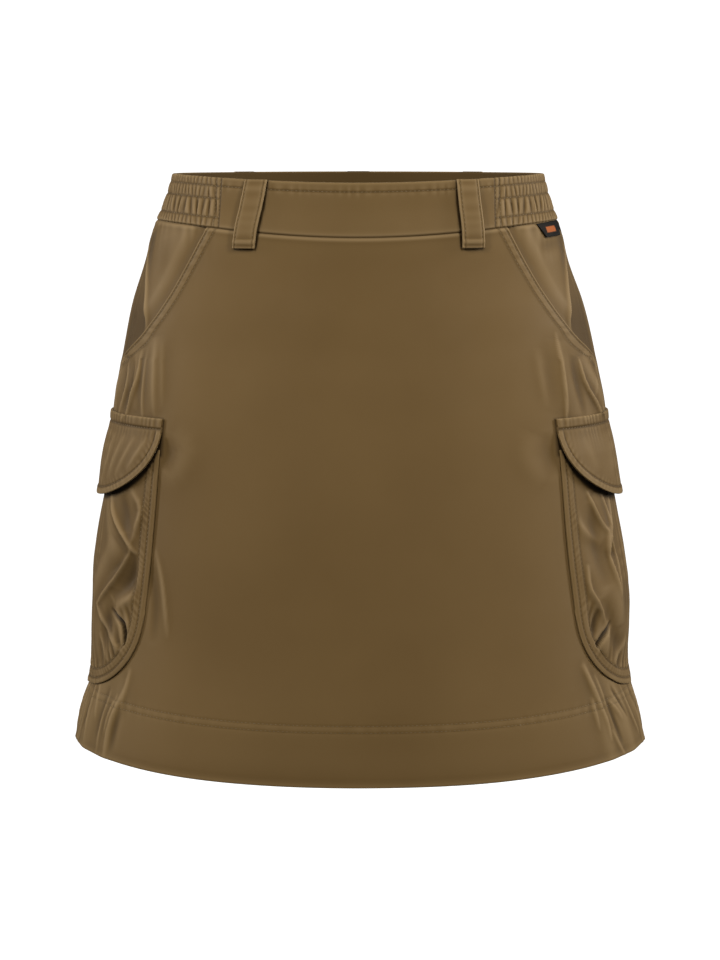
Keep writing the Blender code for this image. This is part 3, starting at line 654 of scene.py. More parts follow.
SKIRT_CREASES = {         # forward of the widest point and height, in mm
    "left": chalked(
        (1.6, 9, 2, 0, (76, -100), (80, -128), (85, -155)),
        (2.2, 9, 2, 0, (50, -112), (40, -132), (26, -155)),
        (1.8, 16, 2, 0, (-18, -40), (-20, -98), (-24, -155)),
        (0.9, 8, 2, 0, (88, -350), (88, -386), (88, -422)),
        (1.3, 9, 2, 0, (66, -350), (60, -386), (54, -422)),
        (1.2, 9, 2, 0, (34, -350), (25, -386), (16, -422)),
        (1.3, 10, 2, 0, (-8, -350), (-12, -386), (-16, -422)),
        (1.1, 10, 2, 0, (-48, -350), (-53, -386), (-58, -422)),
        (1.6, 1.9, 1.2, 0, (75, -94), (79, -121), (86, -166)),
        (2.3, 1.8, 1.2, 0.3, (55, -114), (52, -138), (28, -164)),
        (-1.2, 5, 2, 0, (63, -112), (64, -130), (62, -160)),
        (0.4, 4.5, 1.8, 0, (97, -105), (100, -122), (102, -150)),
        (0.5, 2.4, 1.6, 0, (33, -126), (38, -136), (44, -146)),
        (0.9, 1.6, 1.3, 0, (74, -370), (68, -378), (63, -387)),
        (1.2, 1.6, 1.3, 0, (49, -362), (44, -384), (33, -404)),
        (1.2, 1.6, 1.3, 0, (88, -366), (85, -383), (85, -400)),
        (0.8, 1.6, 1.3, 0, (94, -364), (95, -376), (96, -390)),
        (0.9, 1.8, 1.3, 0, (81, -390), (76, -402), (69, -414)),
        (1.8, 3, 1.4, 0, (95, -338), (90, -357), (86, -374)),
        (-1.2, 2.2, 2, 0, (67, -360), (60, -373), (53, -386)),
        (-1, 2.6, 2, 0, (78, -366), (74, -386), (70, -404)),
        (0.9, 1.8, 1.3, 0, (84, -348), (81, -362), (80, -376)),
        (0.9, 2.6, 1.4, 0, (24, -360), (16, -384), (4, -408)),
        (-0.9, 3, 2, 0, (34, -362), (26, -384), (16, -404)),
        (1.2, 3, 1.4, 0, (-34, -356), (-42, -386), (-52, -412)),
        (0.5, 9, 2, 0, (118, -166), (124, -184), (112, -204)),
        (-0.5, 7, 2, 0, (104, -166), (106, -182), (104, -200))),
    "right": chalked(
        (1.4, 9, 2, 0, (70, -98), (77, -126), (84, -155)),
        (1.8, 8, 2, 0, (52, -108), (57, -132), (62, -155)),
        (2, 8, 2, 0, (30, -116), (28, -136), (26, -155)),
        (1.8, 16, 2, 0, (-20, -44), (-25, -100), (-30, -155)),
        (1, 9, 2, 0, (84, -350), (82, -386), (80, -422)),
        (1.2, 9, 2, 0, (56, -350), (50, -386), (44, -422)),
        (1.3, 10, 2, 0, (20, -350), (13, -386), (6, -422)),
        (1.2, 10, 2, 0, (-20, -350), (-25, -386), (-30, -422)),
        (1, 9, 2, 0, (-56, -350), (-59, -386), (-62, -422)),
        (1.4, 1.8, 1.3, 0, (39, -117), (44, -138), (34, -164)),
        (2.2, 1.8, 1.2, 0.3, (57, -108), (61, -128), (57, -144), (46, -164)),
        (0.9, 2, 1.4, 0, (64, -106), (69, -136), (74, -164)),
        (0.5, 2.4, 1.4, 0, (70, -98), (78, -124), (87, -160)),
        (-1.3, 4, 2, 0, (49, -114), (52, -134), (44, -160)),
        (0.35, 3, 1.5, 0, (78, -100), (85, -120), (93, -150)),
        (0.6, 10, 2, 0, (106, -166), (120, -178), (112, -196), (97, -203)),
        (-0.6, 7, 2, 0, (101, -170), (105, -184), (102, -196)),
        (0.7, 2.6, 1.5, -0.5, (98, -252), (110, -280), (121, -318)),
        (-0.8, 5, 2, 0, (93, -262), (103, -290), (108, -322)),
        (1.8, 2.2, 1.3, 0.2, (87, -358), (82, -384), (82, -414)),
        (1.1, 1.6, 1.3, 0, (81, -364), (77, -380), (76, -396)),
        (1.3, 1.8, 1.3, 0, (39, -356), (45, -383), (46, -408)),
        (0.9, 2.4, 1.4, 0, (88, -343), (88, -358), (88, -372)),
        (0.9, 1.6, 1.3, 0, (49, -358), (54, -372), (58, -388)),
        (-0.8, 3.8, 2, 0, (89, -374), (88, -390), (88, -408)),
        (1, 1.8, 1.3, 0, (70, -362), (68, -386), (70, -412)),
        (-0.7, 2.6, 2, 0, (38, -366), (36, -384), (32, -400)),
        (-0.5, 3.4, 2, 0, (66, -360), (66, -380), (64, -400)),
        (0.8, 2.4, 1.4, 0, (18, -358), (14, -384), (8, -408)),
        (1, 3.2, 1.4, 0, (-38, -358), (-46, -386), (-56, -412))),
}
print("creases on the skirt:", sum(len(table) for table in SKIRT_CREASES.values()))

# %% [markdown]
# ## The skirt's own relief
#
# One function says how far the skirt's face stands off the plain body at any place: its creases,
# a slow unevenness, the turned hem with its two stitched lines, the stitched band beside the
# slanted pocket, and the ditch of every seam. The panels and the thread both ask it, so a stitch
# always lies on the cloth, and a pocket that is sewn on follows the creases under it.

# %% Where the pieces that are sewn on lie
LAY_GAP = 0.6                  # under a piece that lies on a panel
LOOP_WIDTH = 17.0
LOOP_LENGTH = 48.0
LOOP_MIDDLE = -8.0             # height of a loop's middle
LOOP_BELOW_SEAM = 11.5
CARGO_CENTRE_FORWARD = 13.0    # pocket and flap are centred so far before the widest point
FLAP_HALF_WIDTH = 83.0
FLAP_TOP = -158.0
FLAP_CORNER = -169.0
FLAP_LOW = -220.0
FLAP_OVAL = (FLAP_HALF_WIDTH, FLAP_CORNER, FLAP_LOW)

LoopPlace = namedtuple("LoopPlace", "name share_round lean")
BELT_LOOPS = (                 # shares of the way from the centre front to the centre back
    LoopPlace("belt_loop_front_left", 0.2085, 3.6),
    LoopPlace("belt_loop_front_right", -0.1975, 0.0),
    LoopPlace("belt_loop_back_left", 0.755, 0.0),
    LoopPlace("belt_loop_back_right", -0.755, 0.0),
    LoopPlace("belt_loop_back_centre", 1.0, 0.0),
)


def loop_middle(place, height):
    """Way round of a loop's middle line; lean is how far its ends lie apart, in mm."""
    return place.share_round * half(height) + place.lean * (height - LOOP_MIDDLE) / LOOP_LENGTH


def oval_edge(across, half_width, top, low, roundness=2.0):
    """Height of a piece's oval lower edge: its ends lie at `top` and its middle at `low`."""
    share = np.clip(np.abs(across) / half_width, 0.0, 1.0)
    return top + (low - top) * (1 - share ** roundness) ** (1 / roundness)


def from_oval(across, height, half_width, top, low, roundness=2.0):
    """Distance inside such an edge: (1 - g) / |gradient of g|, with g = 1 on the edge."""
    x = np.clip(np.abs(across) / half_width, 1e-4, 1.0)
    y = np.clip((top - height) / (top - low), 0.0, 1.0)
    g = (x ** roundness + y ** roundness) ** (1 / roundness)
    slope = g ** (1 - roundness)
    steep = np.hypot(x ** (roundness - 1) * slope / half_width, y ** (roundness - 1) * slope / (top - low))
    return (1 - g) / steep


# %% Relief of the skirt
PANEL_WALL = 1.2
HEM_WALL = 2.2
HEM_TURN = 44.6                # the turned hem's height, up to its upper stitched line
HEM_ROWS = (39.0, 43.8)        # stitched lines above the hem's edge
SLANT_ROWS = (1.8, 7.2)        # stitched lines beside the slanted pocket edge
SLANT_BAND = 8.6
SLANT_END = -126.0             # the band beside the slanted edge ends here
SEAM_RIDGE = 0.7               # the side seam stands proud beside the hand pocket
HipFold = namedtuple("HipFold", "height forward")
HIP_FOLD = (                   # the cloth folds back here, behind the hand pocket
    HipFold(-116, 38),
    HipFold(-100, 52),
    HipFold(-73, 47),
    HipFold(-40, 26),
    HipFold(-14, 24),
)


def soft_waves(around, height, phase):
    """Slow unevenness of hung cloth: three crossing waves, 110 to 330 mm long, between -1 and 1."""
    return (np.sin(around / 18 + height / 41 + phase) + np.sin(around / 33 - height / 25 + 2 * phase)
            + np.sin(height / 37 + around / 52 + 3 * phase)) / 3


def slant_distance(around, height):
    """Distance into the front panel from the slanted edge, whose line runs on past its end."""
    low, next_up = SLANT_EDGE[0], SLANT_EDGE[1]
    run_on = (next_up.around - low.around) / (next_up.height - low.height)
    line = np.where(height < low.height, low.around + (height - low.height) * run_on,
                    smooth_read(SLANT_EDGE, "around", height))
    slope = np.where(height < low.height, run_on, (smooth_read(SLANT_EDGE, "around", height + 2)
                                                   - smooth_read(SLANT_EDGE, "around", height - 2)) / 4)
    return (line - np.abs(around)) / np.hypot(1.0, slope)


def behind_fold(forward, height):
    """1 behind the fold of the hip, fading towards the waist and 30 mm past the side seam."""
    behind = ease((smooth_read(HIP_FOLD, "forward", height) - forward) / 4)
    return (behind * ease((-42 - height) / 50) * ease((height + 122) / 8)
            * bell(np.maximum(18 - forward, 0), 14))


def hip_fold_out(forward, height):
    """A sharp fold that stands 2 mm proud, and the hollow behind it."""
    from_fold = forward - smooth_read(HIP_FOLD, "forward", height)
    upright = ease((height + 118) / 10) * ease((-14 - height) / 12)
    return upright * 2.0 * np.exp(-(np.abs(from_fold) / 2.4) ** 1.3) - 2.4 * behind_fold(forward, height)


def seam_ridge(from_seam, height):
    """The side seam stands proud beside the hand pocket."""
    upright = ease((height + 116) / 12) * ease((-16 - height) / 10)
    return SEAM_RIDGE * np.exp(-(np.abs(from_seam) / 3.2) ** 1.5) * upright


def waist_roll(below_waist):
    """A soft roll under the waist seam, and the ditch of the seam itself."""
    return 0.22 * bell(below_waist - 2.4, 1.4) - 0.7 * bell(below_waist, 0.8)


def elastic_pucker(around, below_waist):
    """Fine puckers that hang down from the elastic."""
    return 0.32 * uneven(around, 9.0, 0.4) * np.exp(-below_waist / 9) * ease(below_waist / 3)


def skirt_out(around, height):
    """How far the face of the skirt stands off the body."""
    around, height = np.broadcast_arrays(np.asarray(around, float), np.asarray(height, float))
    at = signed(around, height)
    forward = quarter(height) - np.abs(at)
    out = np.where(at > 0, crease_relief(SKIRT_CREASES["left"], forward, height),
                   crease_relief(SKIRT_CREASES["right"], forward, height))
    from_seam = forward - SIDE_SEAM_FORWARD
    beside = np.abs(from_seam)
    out = out + WAVE_RISE * soft_waves(around, height, 0.7) * ease(beside / 30)

    above_hem = height - hem(at)
    out += 0.12 * ease((HEM_TURN - above_hem) / 1.6) + ditch(above_hem, HEM_ROWS, 0.9, 0.11)
    out += 0.10 * uneven(at, 8.5, 1.0) * bell(above_hem - sum(HEM_ROWS) / 2, 5)
    out += 0.5 * ease((5 - above_hem) / 5)

    seam_part = ease((-108 - height) / 8)
    out -= 0.75 * bell(beside, 0.9) * seam_part
    out += 0.28 * ease((7 - beside) / 1.5) * seam_part
    out += 0.12 * uneven(height, 11.0, 2.0) * bell(beside, 9) * seam_part
    out += seam_ridge(from_seam, height)
    out += hip_fold_out(forward, height) * (from_seam < 0)

    below_waist = waist_seam(at) - height
    out += waist_roll(below_waist) + ease((np.abs(at) - 104) / 12) * elastic_pucker(at, below_waist)

    into = slant_distance(at, height)
    band = (np.abs(at) < side_seam(height)) * ease((height - SLANT_END) / 6) * (height < -10)
    inside = ease((into + 0.5) / 0.8)
    out += band * inside * (0.55 * ease((SLANT_BAND - into) / 1.2) + ditch(into, SLANT_ROWS, 0.8, 0.38))
    out += band * inside * 0.14 * uneven(height, 6.5, 0.3) * bell(into - 4.5, 3)
    out += band * 1.1 * bell(height + 101, 13) * np.exp(-np.maximum(into, 0) / 7)
    return out


def skirt_face(around, height):
    """The skirt's face: the plain body, moved out by the skirt's relief."""
    return cloth(around, height, skirt_out(around, height))


def skirt_marks(around, height):
    """Painted highlight on the hem's fold, the slanted edge, the side seam and the lower flanks; painted
    shade in stitched lines and seams; painted shadow by loops and flaps.
    """
    at = signed(np.asarray(around, float), height)
    above_hem = height - hem(at)
    beside = np.abs(quarter(height) - np.abs(at) - SIDE_SEAM_FORWARD)
    into = slant_distance(at, height)
    on_band = (np.abs(at) < side_seam(height)) * (height > SLANT_END) * (into > -1)
    free = ease((height + 118) / 6)
    # Painted highlight along the folded hem, the slanted pocket edge and the side seam's fold.
    worn = np.exp(-above_hem / 1.2) + on_band * np.exp(-np.maximum(into, 0) / 0.9)
    worn = worn + 0.7 * free * bell(beside, 1.4)
    # Painted shade in the stitched ditches, the side seam and the waist seam.
    deep = -ditch(above_hem, HEM_ROWS, 0.9, 0.06) - on_band * ditch(into, SLANT_ROWS, 0.8, 0.55)
    deep = deep + bell(beside, 0.9) * (1 - free) + bell(waist_seam(at) - height, 0.8)
    forward = quarter(height) - np.abs(at)
    # Painted shade in the hollow behind the hip fold.
    deep = deep + behind_fold(forward, height) * (forward < SIDE_SEAM_FORWARD)
    # Painted highlight on the flanks below the pockets.
    worn = worn + 0.5 * ease((-338 - height) / 26) * ease((forward + 55) / 40) * ease((108 - forward) / 26)
    # Painted shadow under and beside the belt loops and round the flap ends.
    gap = np.maximum(loop_shade(at, height), flap_shade(at, height))
    return {"worn": worn, "deep": deep, "gap": gap}


def loop_shade(around, height):
    """1 under a belt loop, fading out within two millimetres round it."""
    shade = np.zeros(np.broadcast(around, height).shape)
    for place in BELT_LOOPS:
        middle = loop_middle(place, height)
        away = np.abs(around - middle)
        away = np.minimum(away, np.abs(around + middle)) if abs(place.share_round) == 1.0 else away
        low = waist_seam(place.share_round * half(0.0)) - LOOP_BELOW_SEAM
        outside = np.hypot(np.maximum(away - LOOP_WIDTH / 2, 0), np.maximum(low - height, 0))
        shade = np.maximum(shade, 0.9 * bell(outside, 1.3))
    return shade


def flap_shade(around, height):
    """1 close round the two ends of a flap, below its rolled top, where it stands off."""
    across = quarter(height) - np.abs(around) - CARGO_CENTRE_FORWARD
    beyond = np.maximum(np.abs(across) - FLAP_HALF_WIDTH, 0)
    return 0.8 * bell(beyond, 1.4) * ease((FLAP_TOP + 1 - height) / 2) * (height > FLAP_CORNER - 16)


def panel_wall(around, height):
    """The cloth is doubled where the hem is turned up."""
    above_hem = height - hem(around)
    return HEM_WALL + (PANEL_WALL - HEM_WALL) * ease((above_hem - HEM_TURN + 3) / 6)


print("side seam", round(float(side_seam(-300.0))), "mm from the centre front at pocket height")

# %% [markdown]
# ## How a piece joins the frame
#
# Every piece rides on the one body of the skort and stands for its imported node, which it hides.

# %% Joining a piece to the frame
def on_body(around, height, out, wall):
    """The two layers of a piece, its face and its back, over the plain body."""
    return cloth(around, height, out), cloth(around, height, out - wall)


def dress(node, place, layers, marks, fold, material=twill, name=None):
    """Make one cut piece, ride it on the body and hide its imported node."""
    piece = cloth_shell(name or node + "_cloth", *layers, place, material, marks, fold)
    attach(piece, "root")
    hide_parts(node)
    return piece


# %% [markdown]
# ## Front and back panels
#
# The front panel is cut away on both sides for the hand pockets, so its edge slants from the
# waist to the side seam and then follows that seam down. The grid's columns keep their share of
# the way to that edge, and its rows keep their share of the way from seam to hem. The columns
# crowd at the slanted edge and the rows at the stitched lines, where half a millimetre shows.

# %% Panels
PANEL_LENGTH = 398.0


def panel_rows(stops):
    """Grid rows as shares of a panel's length, from the seam (1) down to the hem (0)."""
    return spaced(stops)[::-1, None] / PANEL_LENGTH


def hang_panel(node, around, height):
    """A panel: the skirt's face, over a wall that the turned hem doubles."""
    layers = on_body(around, height, skirt_out(around, height), panel_wall(signed(around, height), height))
    return dress(node, (around, height), layers, skirt_marks(around, height), fold=0.6)


def make_front_panel():
    """Front: rows from the waist seam to the hem, columns between the two edges."""
    share = spaced([(-1, .0044), (-.985, .0046), (-.84, .0048), (-.62, .009), (-.5, .020), (.5, .020),
                    (.62, .009), (.84, .0048), (.985, .0046), (1, .0044)])
    up = panel_rows([(0, 1.2), (5, 2.4), (32, 2.6), (37.5, .75), (45.5, .75), (50, 2.6), (262, 2.9),
                     (278, 1.5), (322, 1.5), (332, 2.9), (390, 2.2), (395, .7), (398, .7)])
    top = waist_seam(share * SLANT_EDGE[-1].around) - SEAM_GAP / 2
    low = hem(share * side_seam(HEM_FRONT))
    height = low + up * (top - low)
    around = share * (slant_edge(height) - SEAM_GAP / 2)
    return hang_panel("front_panel", around, height)


def make_back_panel():
    """Back: rows as on the front, columns from side seam to side seam round the back."""
    share = spaced([(0, .0016), (.02, .004), (.16, .006), (.3, .0095), (.7, .0095), (.84, .006),
                    (.98, .004), (1, .0016)])
    up = panel_rows([(0, 1.2), (5, 2.6), (32, 2.8), (37.5, .8), (45.5, .8), (50, 2.8), (388, 3.2),
                     (394, .8), (398, .8)])
    low = hem(HEM_QUARTER * (1 + 2 * np.minimum(share, 1 - share)))
    top = waist_seam(WAIST_QUARTER) - SEAM_GAP / 2
    height = low + up * (top - low)
    start = side_seam(height) + SEAM_GAP / 2
    around = start + share * 2 * (half(height) - start)
    return hang_panel("back_panel", around, height)


front_panel = make_front_panel()
back_panel = make_back_panel()
print("front panel", len(front_panel.data.polygons), "quads, back", len(back_panel.data.polygons))

# %% [markdown]
# ## Hip pieces
#
# Behind each slanted edge lies the hip piece, which is the back wall of the hand pocket. It tucks
# two millimetres under the edge and comes up flush with the skirt towards the side seam, so the
# pocket mouth shows as a thin dark line with a bright fold beside it; painted shade deepens the
# line and a painted highlight brightens the fold.

# %% Hips
POCKET_DEPTH = 2.0
POCKET_TUCK = 22.0
HIP_LOW = -126.0
HIP_WALL = 1.0
HIP_FLUSH_FROM = 2.0
HIP_FLUSH_AT = 20.0
HIP_CREASES = {
    "left": chalked(
        (-0.9, 6, 2, 0, (28, -29), (42, -31), (64, -34))),
    "right": chalked(
        (-0.3, 9, 2, 0, (50, -26), (54, -44), (60, -62))),
}


def hip_out(around, height, side_name):
    """The skirt's relief, sunk POCKET_DEPTH behind the slanted edge and flush 20 mm past it."""
    at = np.abs(around)
    flush = ease((at - slant_edge(height) - HIP_FLUSH_FROM) / (HIP_FLUSH_AT - HIP_FLUSH_FROM))
    forward = quarter(height) - at
    below_waist = waist_seam(at) - height
    relief = crease_relief(HIP_CREASES[side_name], forward, height)
    relief += WAVE_RISE * soft_waves(around, height, 1.9) + elastic_pucker(around, below_waist)
    relief += waist_roll(below_waist) + hip_fold_out(forward, height)
    return relief * flush + seam_ridge(forward - SIDE_SEAM_FORWARD, height) - POCKET_DEPTH * (1 - flush)


def make_hip(side, side_name):
    """Hip: columns from behind the slanted edge to the side seam."""
    share = np.linspace(0, 1, 66)
    down = spaced([(0, .006), (.03, .012), (.95, .016), (1, .012)])[:, None]
    top_start = SLANT_EDGE[-1].around - POCKET_TUCK
    top = waist_seam(top_start + share * (side_seam(WAIST_SEAM) - top_start)) - SEAM_GAP / 2
    height = top + down * (HIP_LOW - top)
    start = slant_edge(height) - POCKET_TUCK
    around = side * (start + share * (side_seam(height) - SEAM_GAP / 2 - start))
    out = hip_out(around, height, side_name)
    layers = on_body(around, height, out, HIP_WALL)
    beside = side_seam(height) - np.abs(around)
    # Painted shade at the waist seam, behind the hip fold and in the pocket mouth; a painted highlight
    # along the side seam's fold.
    deep = bell(waist_seam(around) - height, 0.8) + behind_fold(quarter(height) - np.abs(around), height)
    deep = deep + 0.8 * ease((3 - np.abs(around) + slant_edge(height)) / 5)
    marks = {"worn": 0.7 * bell(beside, 1.4), "deep": deep}
    return dress("hip_" + side_name, (around, height), layers, marks, fold=0.2)


for side, side_name in SIDES:
    make_hip(side, side_name)

# %% [markdown]
# ## The waistband
#
# The front of the band is plain and lightly stiff. Its sides are drawn in by wide elastic, held
# by three stitched rows, and the cloth bunches between them in narrow uneven gathers. A gather is
# a rounded crest between two sharp valleys, which the absolute value of a cosine gives. The rows
# pinch it, so each stretch between two rows swells and dies again, and shifts a little against
# the next one, as the real elastic makes it do.

# %% Waistband
BAND_OUT = 0.6
BAND_IN = -2.0
BAND_HEIGHT = 39.0
BAND_FRONT_HALF = 104.5
ELASTIC_FROM = BAND_FRONT_HALF + SEAM_GAP
ELASTIC_TO = WAIST_QUARTER + 80.0
BACK_START = ELASTIC_TO + SEAM_GAP
TOP_STITCH = 6.0               # below the top edge
ELASTIC_ROWS = (6.0, 16.0, 31.0)
END_ROWS = (1.2, 5.0)          # upright stitched lines where the elastic begins
GATHERS_PER_SIDE = 31
GATHER_WIDTH_SWING = 0.28

GatherStretch = namedtuple("GatherStretch", "start end height rate shift")
GATHER_STRETCHES = (           # between two stitched rows: how deep, how close and how far shifted
    GatherStretch(-3, 6, 0.7, 1.28, 0.0),
    GatherStretch(6, 16, 0.9, 1.2, 0.7),
    GatherStretch(16, 31, 1.9, 0.8, 1.1),
    GatherStretch(31, 41, 0.9, 1.12, 0.4),
)


def band_height(around, below_top):
    """The band's rows keep their share of the way from the top edge to the waist seam."""
    top = waist_top(around)
    return top + below_top / BAND_HEIGHT * (waist_seam(around) + SEAM_GAP / 2 - top)


def band_edges(below_top):
    """The band's own folds: a soft swell between its edges and a ditch at the waist seam."""
    return (0.25 * np.sin(np.pi * np.clip(below_top / BAND_HEIGHT, 0, 1)) ** 0.7
            - 0.7 * bell(BAND_HEIGHT - below_top, 0.8))


def plain_band_out(around, below_top):
    """Plain stretch of the band, puckered a little along its top stitching."""
    out = BAND_OUT + band_edges(below_top) + ditch(below_top, (TOP_STITCH,), 0.9, 0.25)
    out = out + 0.16 * uneven(around, 7.5, 0.9) * bell(below_top - TOP_STITCH, 3.5)
    return out + 0.22 * soft_waves(around, 3 * below_top, 2.4)


def gather_phase(share, side):
    """Number of gathers passed at each share of the elastic's length; their widths differ."""
    number = np.arange(2 * GATHERS_PER_SIDE + 1)
    width = 1 + GATHER_WIDTH_SWING * np.sin(2.4 * number + side)
    place = np.concatenate([[0.0], np.cumsum(width[1:])])
    return np.interp(share, place / place[-1], number / 2)


def end_ditch(share):
    """The upright stitched lines where the elastic begins."""
    return ditch(share * (ELASTIC_TO - ELASTIC_FROM), END_ROWS, 0.9, 0.5)


def gathered_out(share, below_top, side):
    """Sum over the stretches of height * (|cos(pi * gathers)| ** 0.7 - 0.45) * swell."""
    gathers = gather_phase(share, side)
    ends = ease(share * 28) * ease((1 - share) * 28)
    out = np.zeros(np.broadcast(share, below_top).shape)
    for number, stretch in enumerate(GATHER_STRETCHES):
        t = np.clip((below_top - stretch.start) / (stretch.end - stretch.start), 0, 1)
        swell = np.sin(np.pi * t) ** 0.55
        lean = 0.32 * np.sin(1.3 * np.floor(gathers) + number) * (t - 0.5)
        turn = np.pi * (stretch.rate * gathers + lean + 0.12 * stretch.shift
                        + 0.12 * np.sin(0.8 * gathers + 2 * number))
        uneven_height = 1 + 0.35 * np.sin(2.9 * np.floor(gathers + 0.5) + 1.7 * number)
        out += stretch.height * uneven_height * (np.abs(np.cos(turn)) ** 0.7 - 0.45) * swell
    pinch = ditch(below_top, ELASTIC_ROWS, 0.9, 0.2) + end_ditch(share)
    return BAND_OUT + band_edges(below_top) + ends * out + pinch


def band_marks(below_top, rows):
    """Painted highlight on the folded top edge; painted shade in the stitched rows and the waist seam."""
    deep = -ditch(below_top, rows, 0.8, 0.38) + bell(BAND_HEIGHT - below_top, 0.8)
    return {"worn": 0.8 * np.exp(-below_top), "deep": deep}


BAND_ROWS = [(0, .5), (1.5, .9), (4.6, .8), (5.4, .5), (6.6, .5), (8, 1.0), (37, 1.0), (38, .5), (39, .5)]
ELASTIC_GRID = [(0, .5), (1.5, .9), (5.2, .6), (6.8, .6), (9, 1.0), (15.2, .6), (16.8, .6), (20, 1.1),
                (28, 1.1), (30.2, .6), (31.8, .6), (34, 1.0), (38, .5), (39, .5)]


def make_plain_band(node, start, end):
    """A plain stretch of the band, from `start` round to what `end` gives at each height."""
    share = spaced([(0, .003), (.015, .006), (.05, .010), (.95, .010), (.985, .006), (1, .003)])
    below_top = spaced(BAND_ROWS)[:, None]
    level = band_height(WAIST_QUARTER + 0 * share, below_top)
    around = start + share * (end(level) - start)
    height = band_height(signed(around, level), below_top)
    out = plain_band_out(around, below_top)
    layers = on_body(around, height, out, out - BAND_IN)
    marks = band_marks(below_top, (TOP_STITCH,))
    # Painted shadow under and beside the belt loops.
    marks["gap"] = loop_shade(signed(around, height), height)
    return dress(node, (around, height), layers, marks, fold=0.9)


def make_gathered_band(side, side_name):
    """One elastic side: ten grid columns to a gather over a plain inside."""
    share = np.linspace(0, 1, 10 * GATHERS_PER_SIDE + 1)
    around = side * (ELASTIC_FROM + share * (ELASTIC_TO - ELASTIC_FROM))
    below_top = spaced(ELASTIC_GRID)[:, None]
    height = band_height(around, below_top)
    out = gathered_out(share, below_top, side)
    marks = band_marks(below_top, ELASTIC_ROWS)
    # Painted shade in the upright stitched lines as well.
    marks["deep"] = marks["deep"] - end_ditch(share)
    layers = on_body(around, height, out, out - BAND_IN)
    return dress("waistband_side_" + side_name, (around, height), layers, marks, fold=0.8)


make_plain_band("waistband_front", -BAND_FRONT_HALF, lambda level: BAND_FRONT_HALF)
make_plain_band("waistband_back", BACK_START, lambda level: 2 * half(level) - BACK_START)
for side, side_name in SIDES:
    make_gathered_band(side, side_name)

# %% [markdown]
# ## Belt loops
#
# A belt loop is a strip folded lengthways in three, stitched near both edges, and sewn on over
# the band at its top edge and just under the waist seam. It arches off the band so that a belt
# can pass. Its turned-under ends are thicker than its middle, and that shows as a small step.

# %% Belt loops
LOOP_WALL = 1.7
LOOP_ARCH = 2.4
LOOP_ROWS = (1.9, 15.1)        # stitched lines across its width


def loop_place(place, across, down):
    """Way round and height of a point of a loop: across in mm, down as a share of its length."""
    middle = place.share_round * half(0.0)
    top = waist_top(middle) + 0.6
    height = top + down * (waist_seam(middle) - LOOP_BELOW_SEAM - top)
    return loop_middle(place, height) + across - LOOP_WIDTH / 2, height


def loop_lift(across, down):
    """Back of the loop over the body: it arches by a sine of the share of its length."""
    return BAND_OUT + LAY_GAP + LOOP_ARCH * np.sin(np.pi * np.clip(down, 0, 1)) ** 0.8 + 0 * across


def loop_out(across, down):
    """Face of the loop: its three layers, pressed in at both stitched lines and at both ends."""
    edges = np.minimum(across, LOOP_WIDTH - across)
    out = loop_lift(across, down) + LOOP_WALL - 0.45 * np.exp(-edges / 0.6)
    out = out + ditch(across, LOOP_ROWS, 0.6, 0.28) + 0.12 * np.sin(np.pi * across / LOOP_WIDTH)
    out = out + 0.5 * ease((down - 0.86) / 0.03) + 0.10 * uneven(LOOP_LENGTH * down, 7.0, 0.5)
    return out - 0.5 * bell(down - 0.955, 0.018)


def loop_face(place, across, down):
    """The loop's face at a place of its strip."""
    around, height = loop_place(place, across, down)
    return cloth(around, height, loop_out(across, down))


def make_belt_loop(place):
    """One loop: a thin strip whose edges are rounded by half its thickness."""
    across = spaced([(0, .35), (1.2, .5), (3, .6), (8.5, 1.1), (14, .6), (15.8, .5), (17, .35)])
    down = spaced([(0, .012), (.1, .022), (.84, .022), (.9, .012), (1, .012)])[:, None]
    around, height = loop_place(place, across, down)
    layers = loop_face(place, across, down), cloth(around, height, loop_lift(across, down))
    edges = np.minimum(across, LOOP_WIDTH - across)
    # Painted highlight along the folded edges and painted shade in the stitched lines.
    marks = {"worn": np.exp(-edges / 0.7), "deep": -ditch(across, LOOP_ROWS, 0.6, 0.3)}
    return dress(place.name, (around, height), layers, marks, fold=0.5)


for place in BELT_LOOPS:
    make_belt_loop(place)

# %% [markdown]
# ## Cargo pockets
#
# Each side has a patch pocket with a round bottom, fuller than the cloth it is sewn to, so that
# it swells. Its edge is turned in and stitched twice, the fullness is eased into that edge in
# small gathers, and the swollen middle falls into the deepest creases of the whole garment. The
# distance to the curved edge comes from the level sets of its oval, divided by their steepness,
# which is true to a tenth of a millimetre near the edge, where the stitches run.

# %% Cargo pockets
CARGO_HALF_WIDTH = 82.0
CARGO_MOUTH = -181.0
CARGO_STRAIGHT_TO = -300.0
CARGO_LOW = -365.0
CARGO_ROUNDNESS = 2.4
CARGO_OVAL = (CARGO_HALF_WIDTH, CARGO_STRAIGHT_TO, CARGO_LOW, CARGO_ROUNDNESS)
CARGO_WALL = 1.2
CARGO_SIDE_RAMP = 48.0
CARGO_LOW_RAMP = 30.0
CARGO_ROWS = (4.5, 11.0)       # stitched lines inside the pocket's edge
CARGO_BAND = 12.4

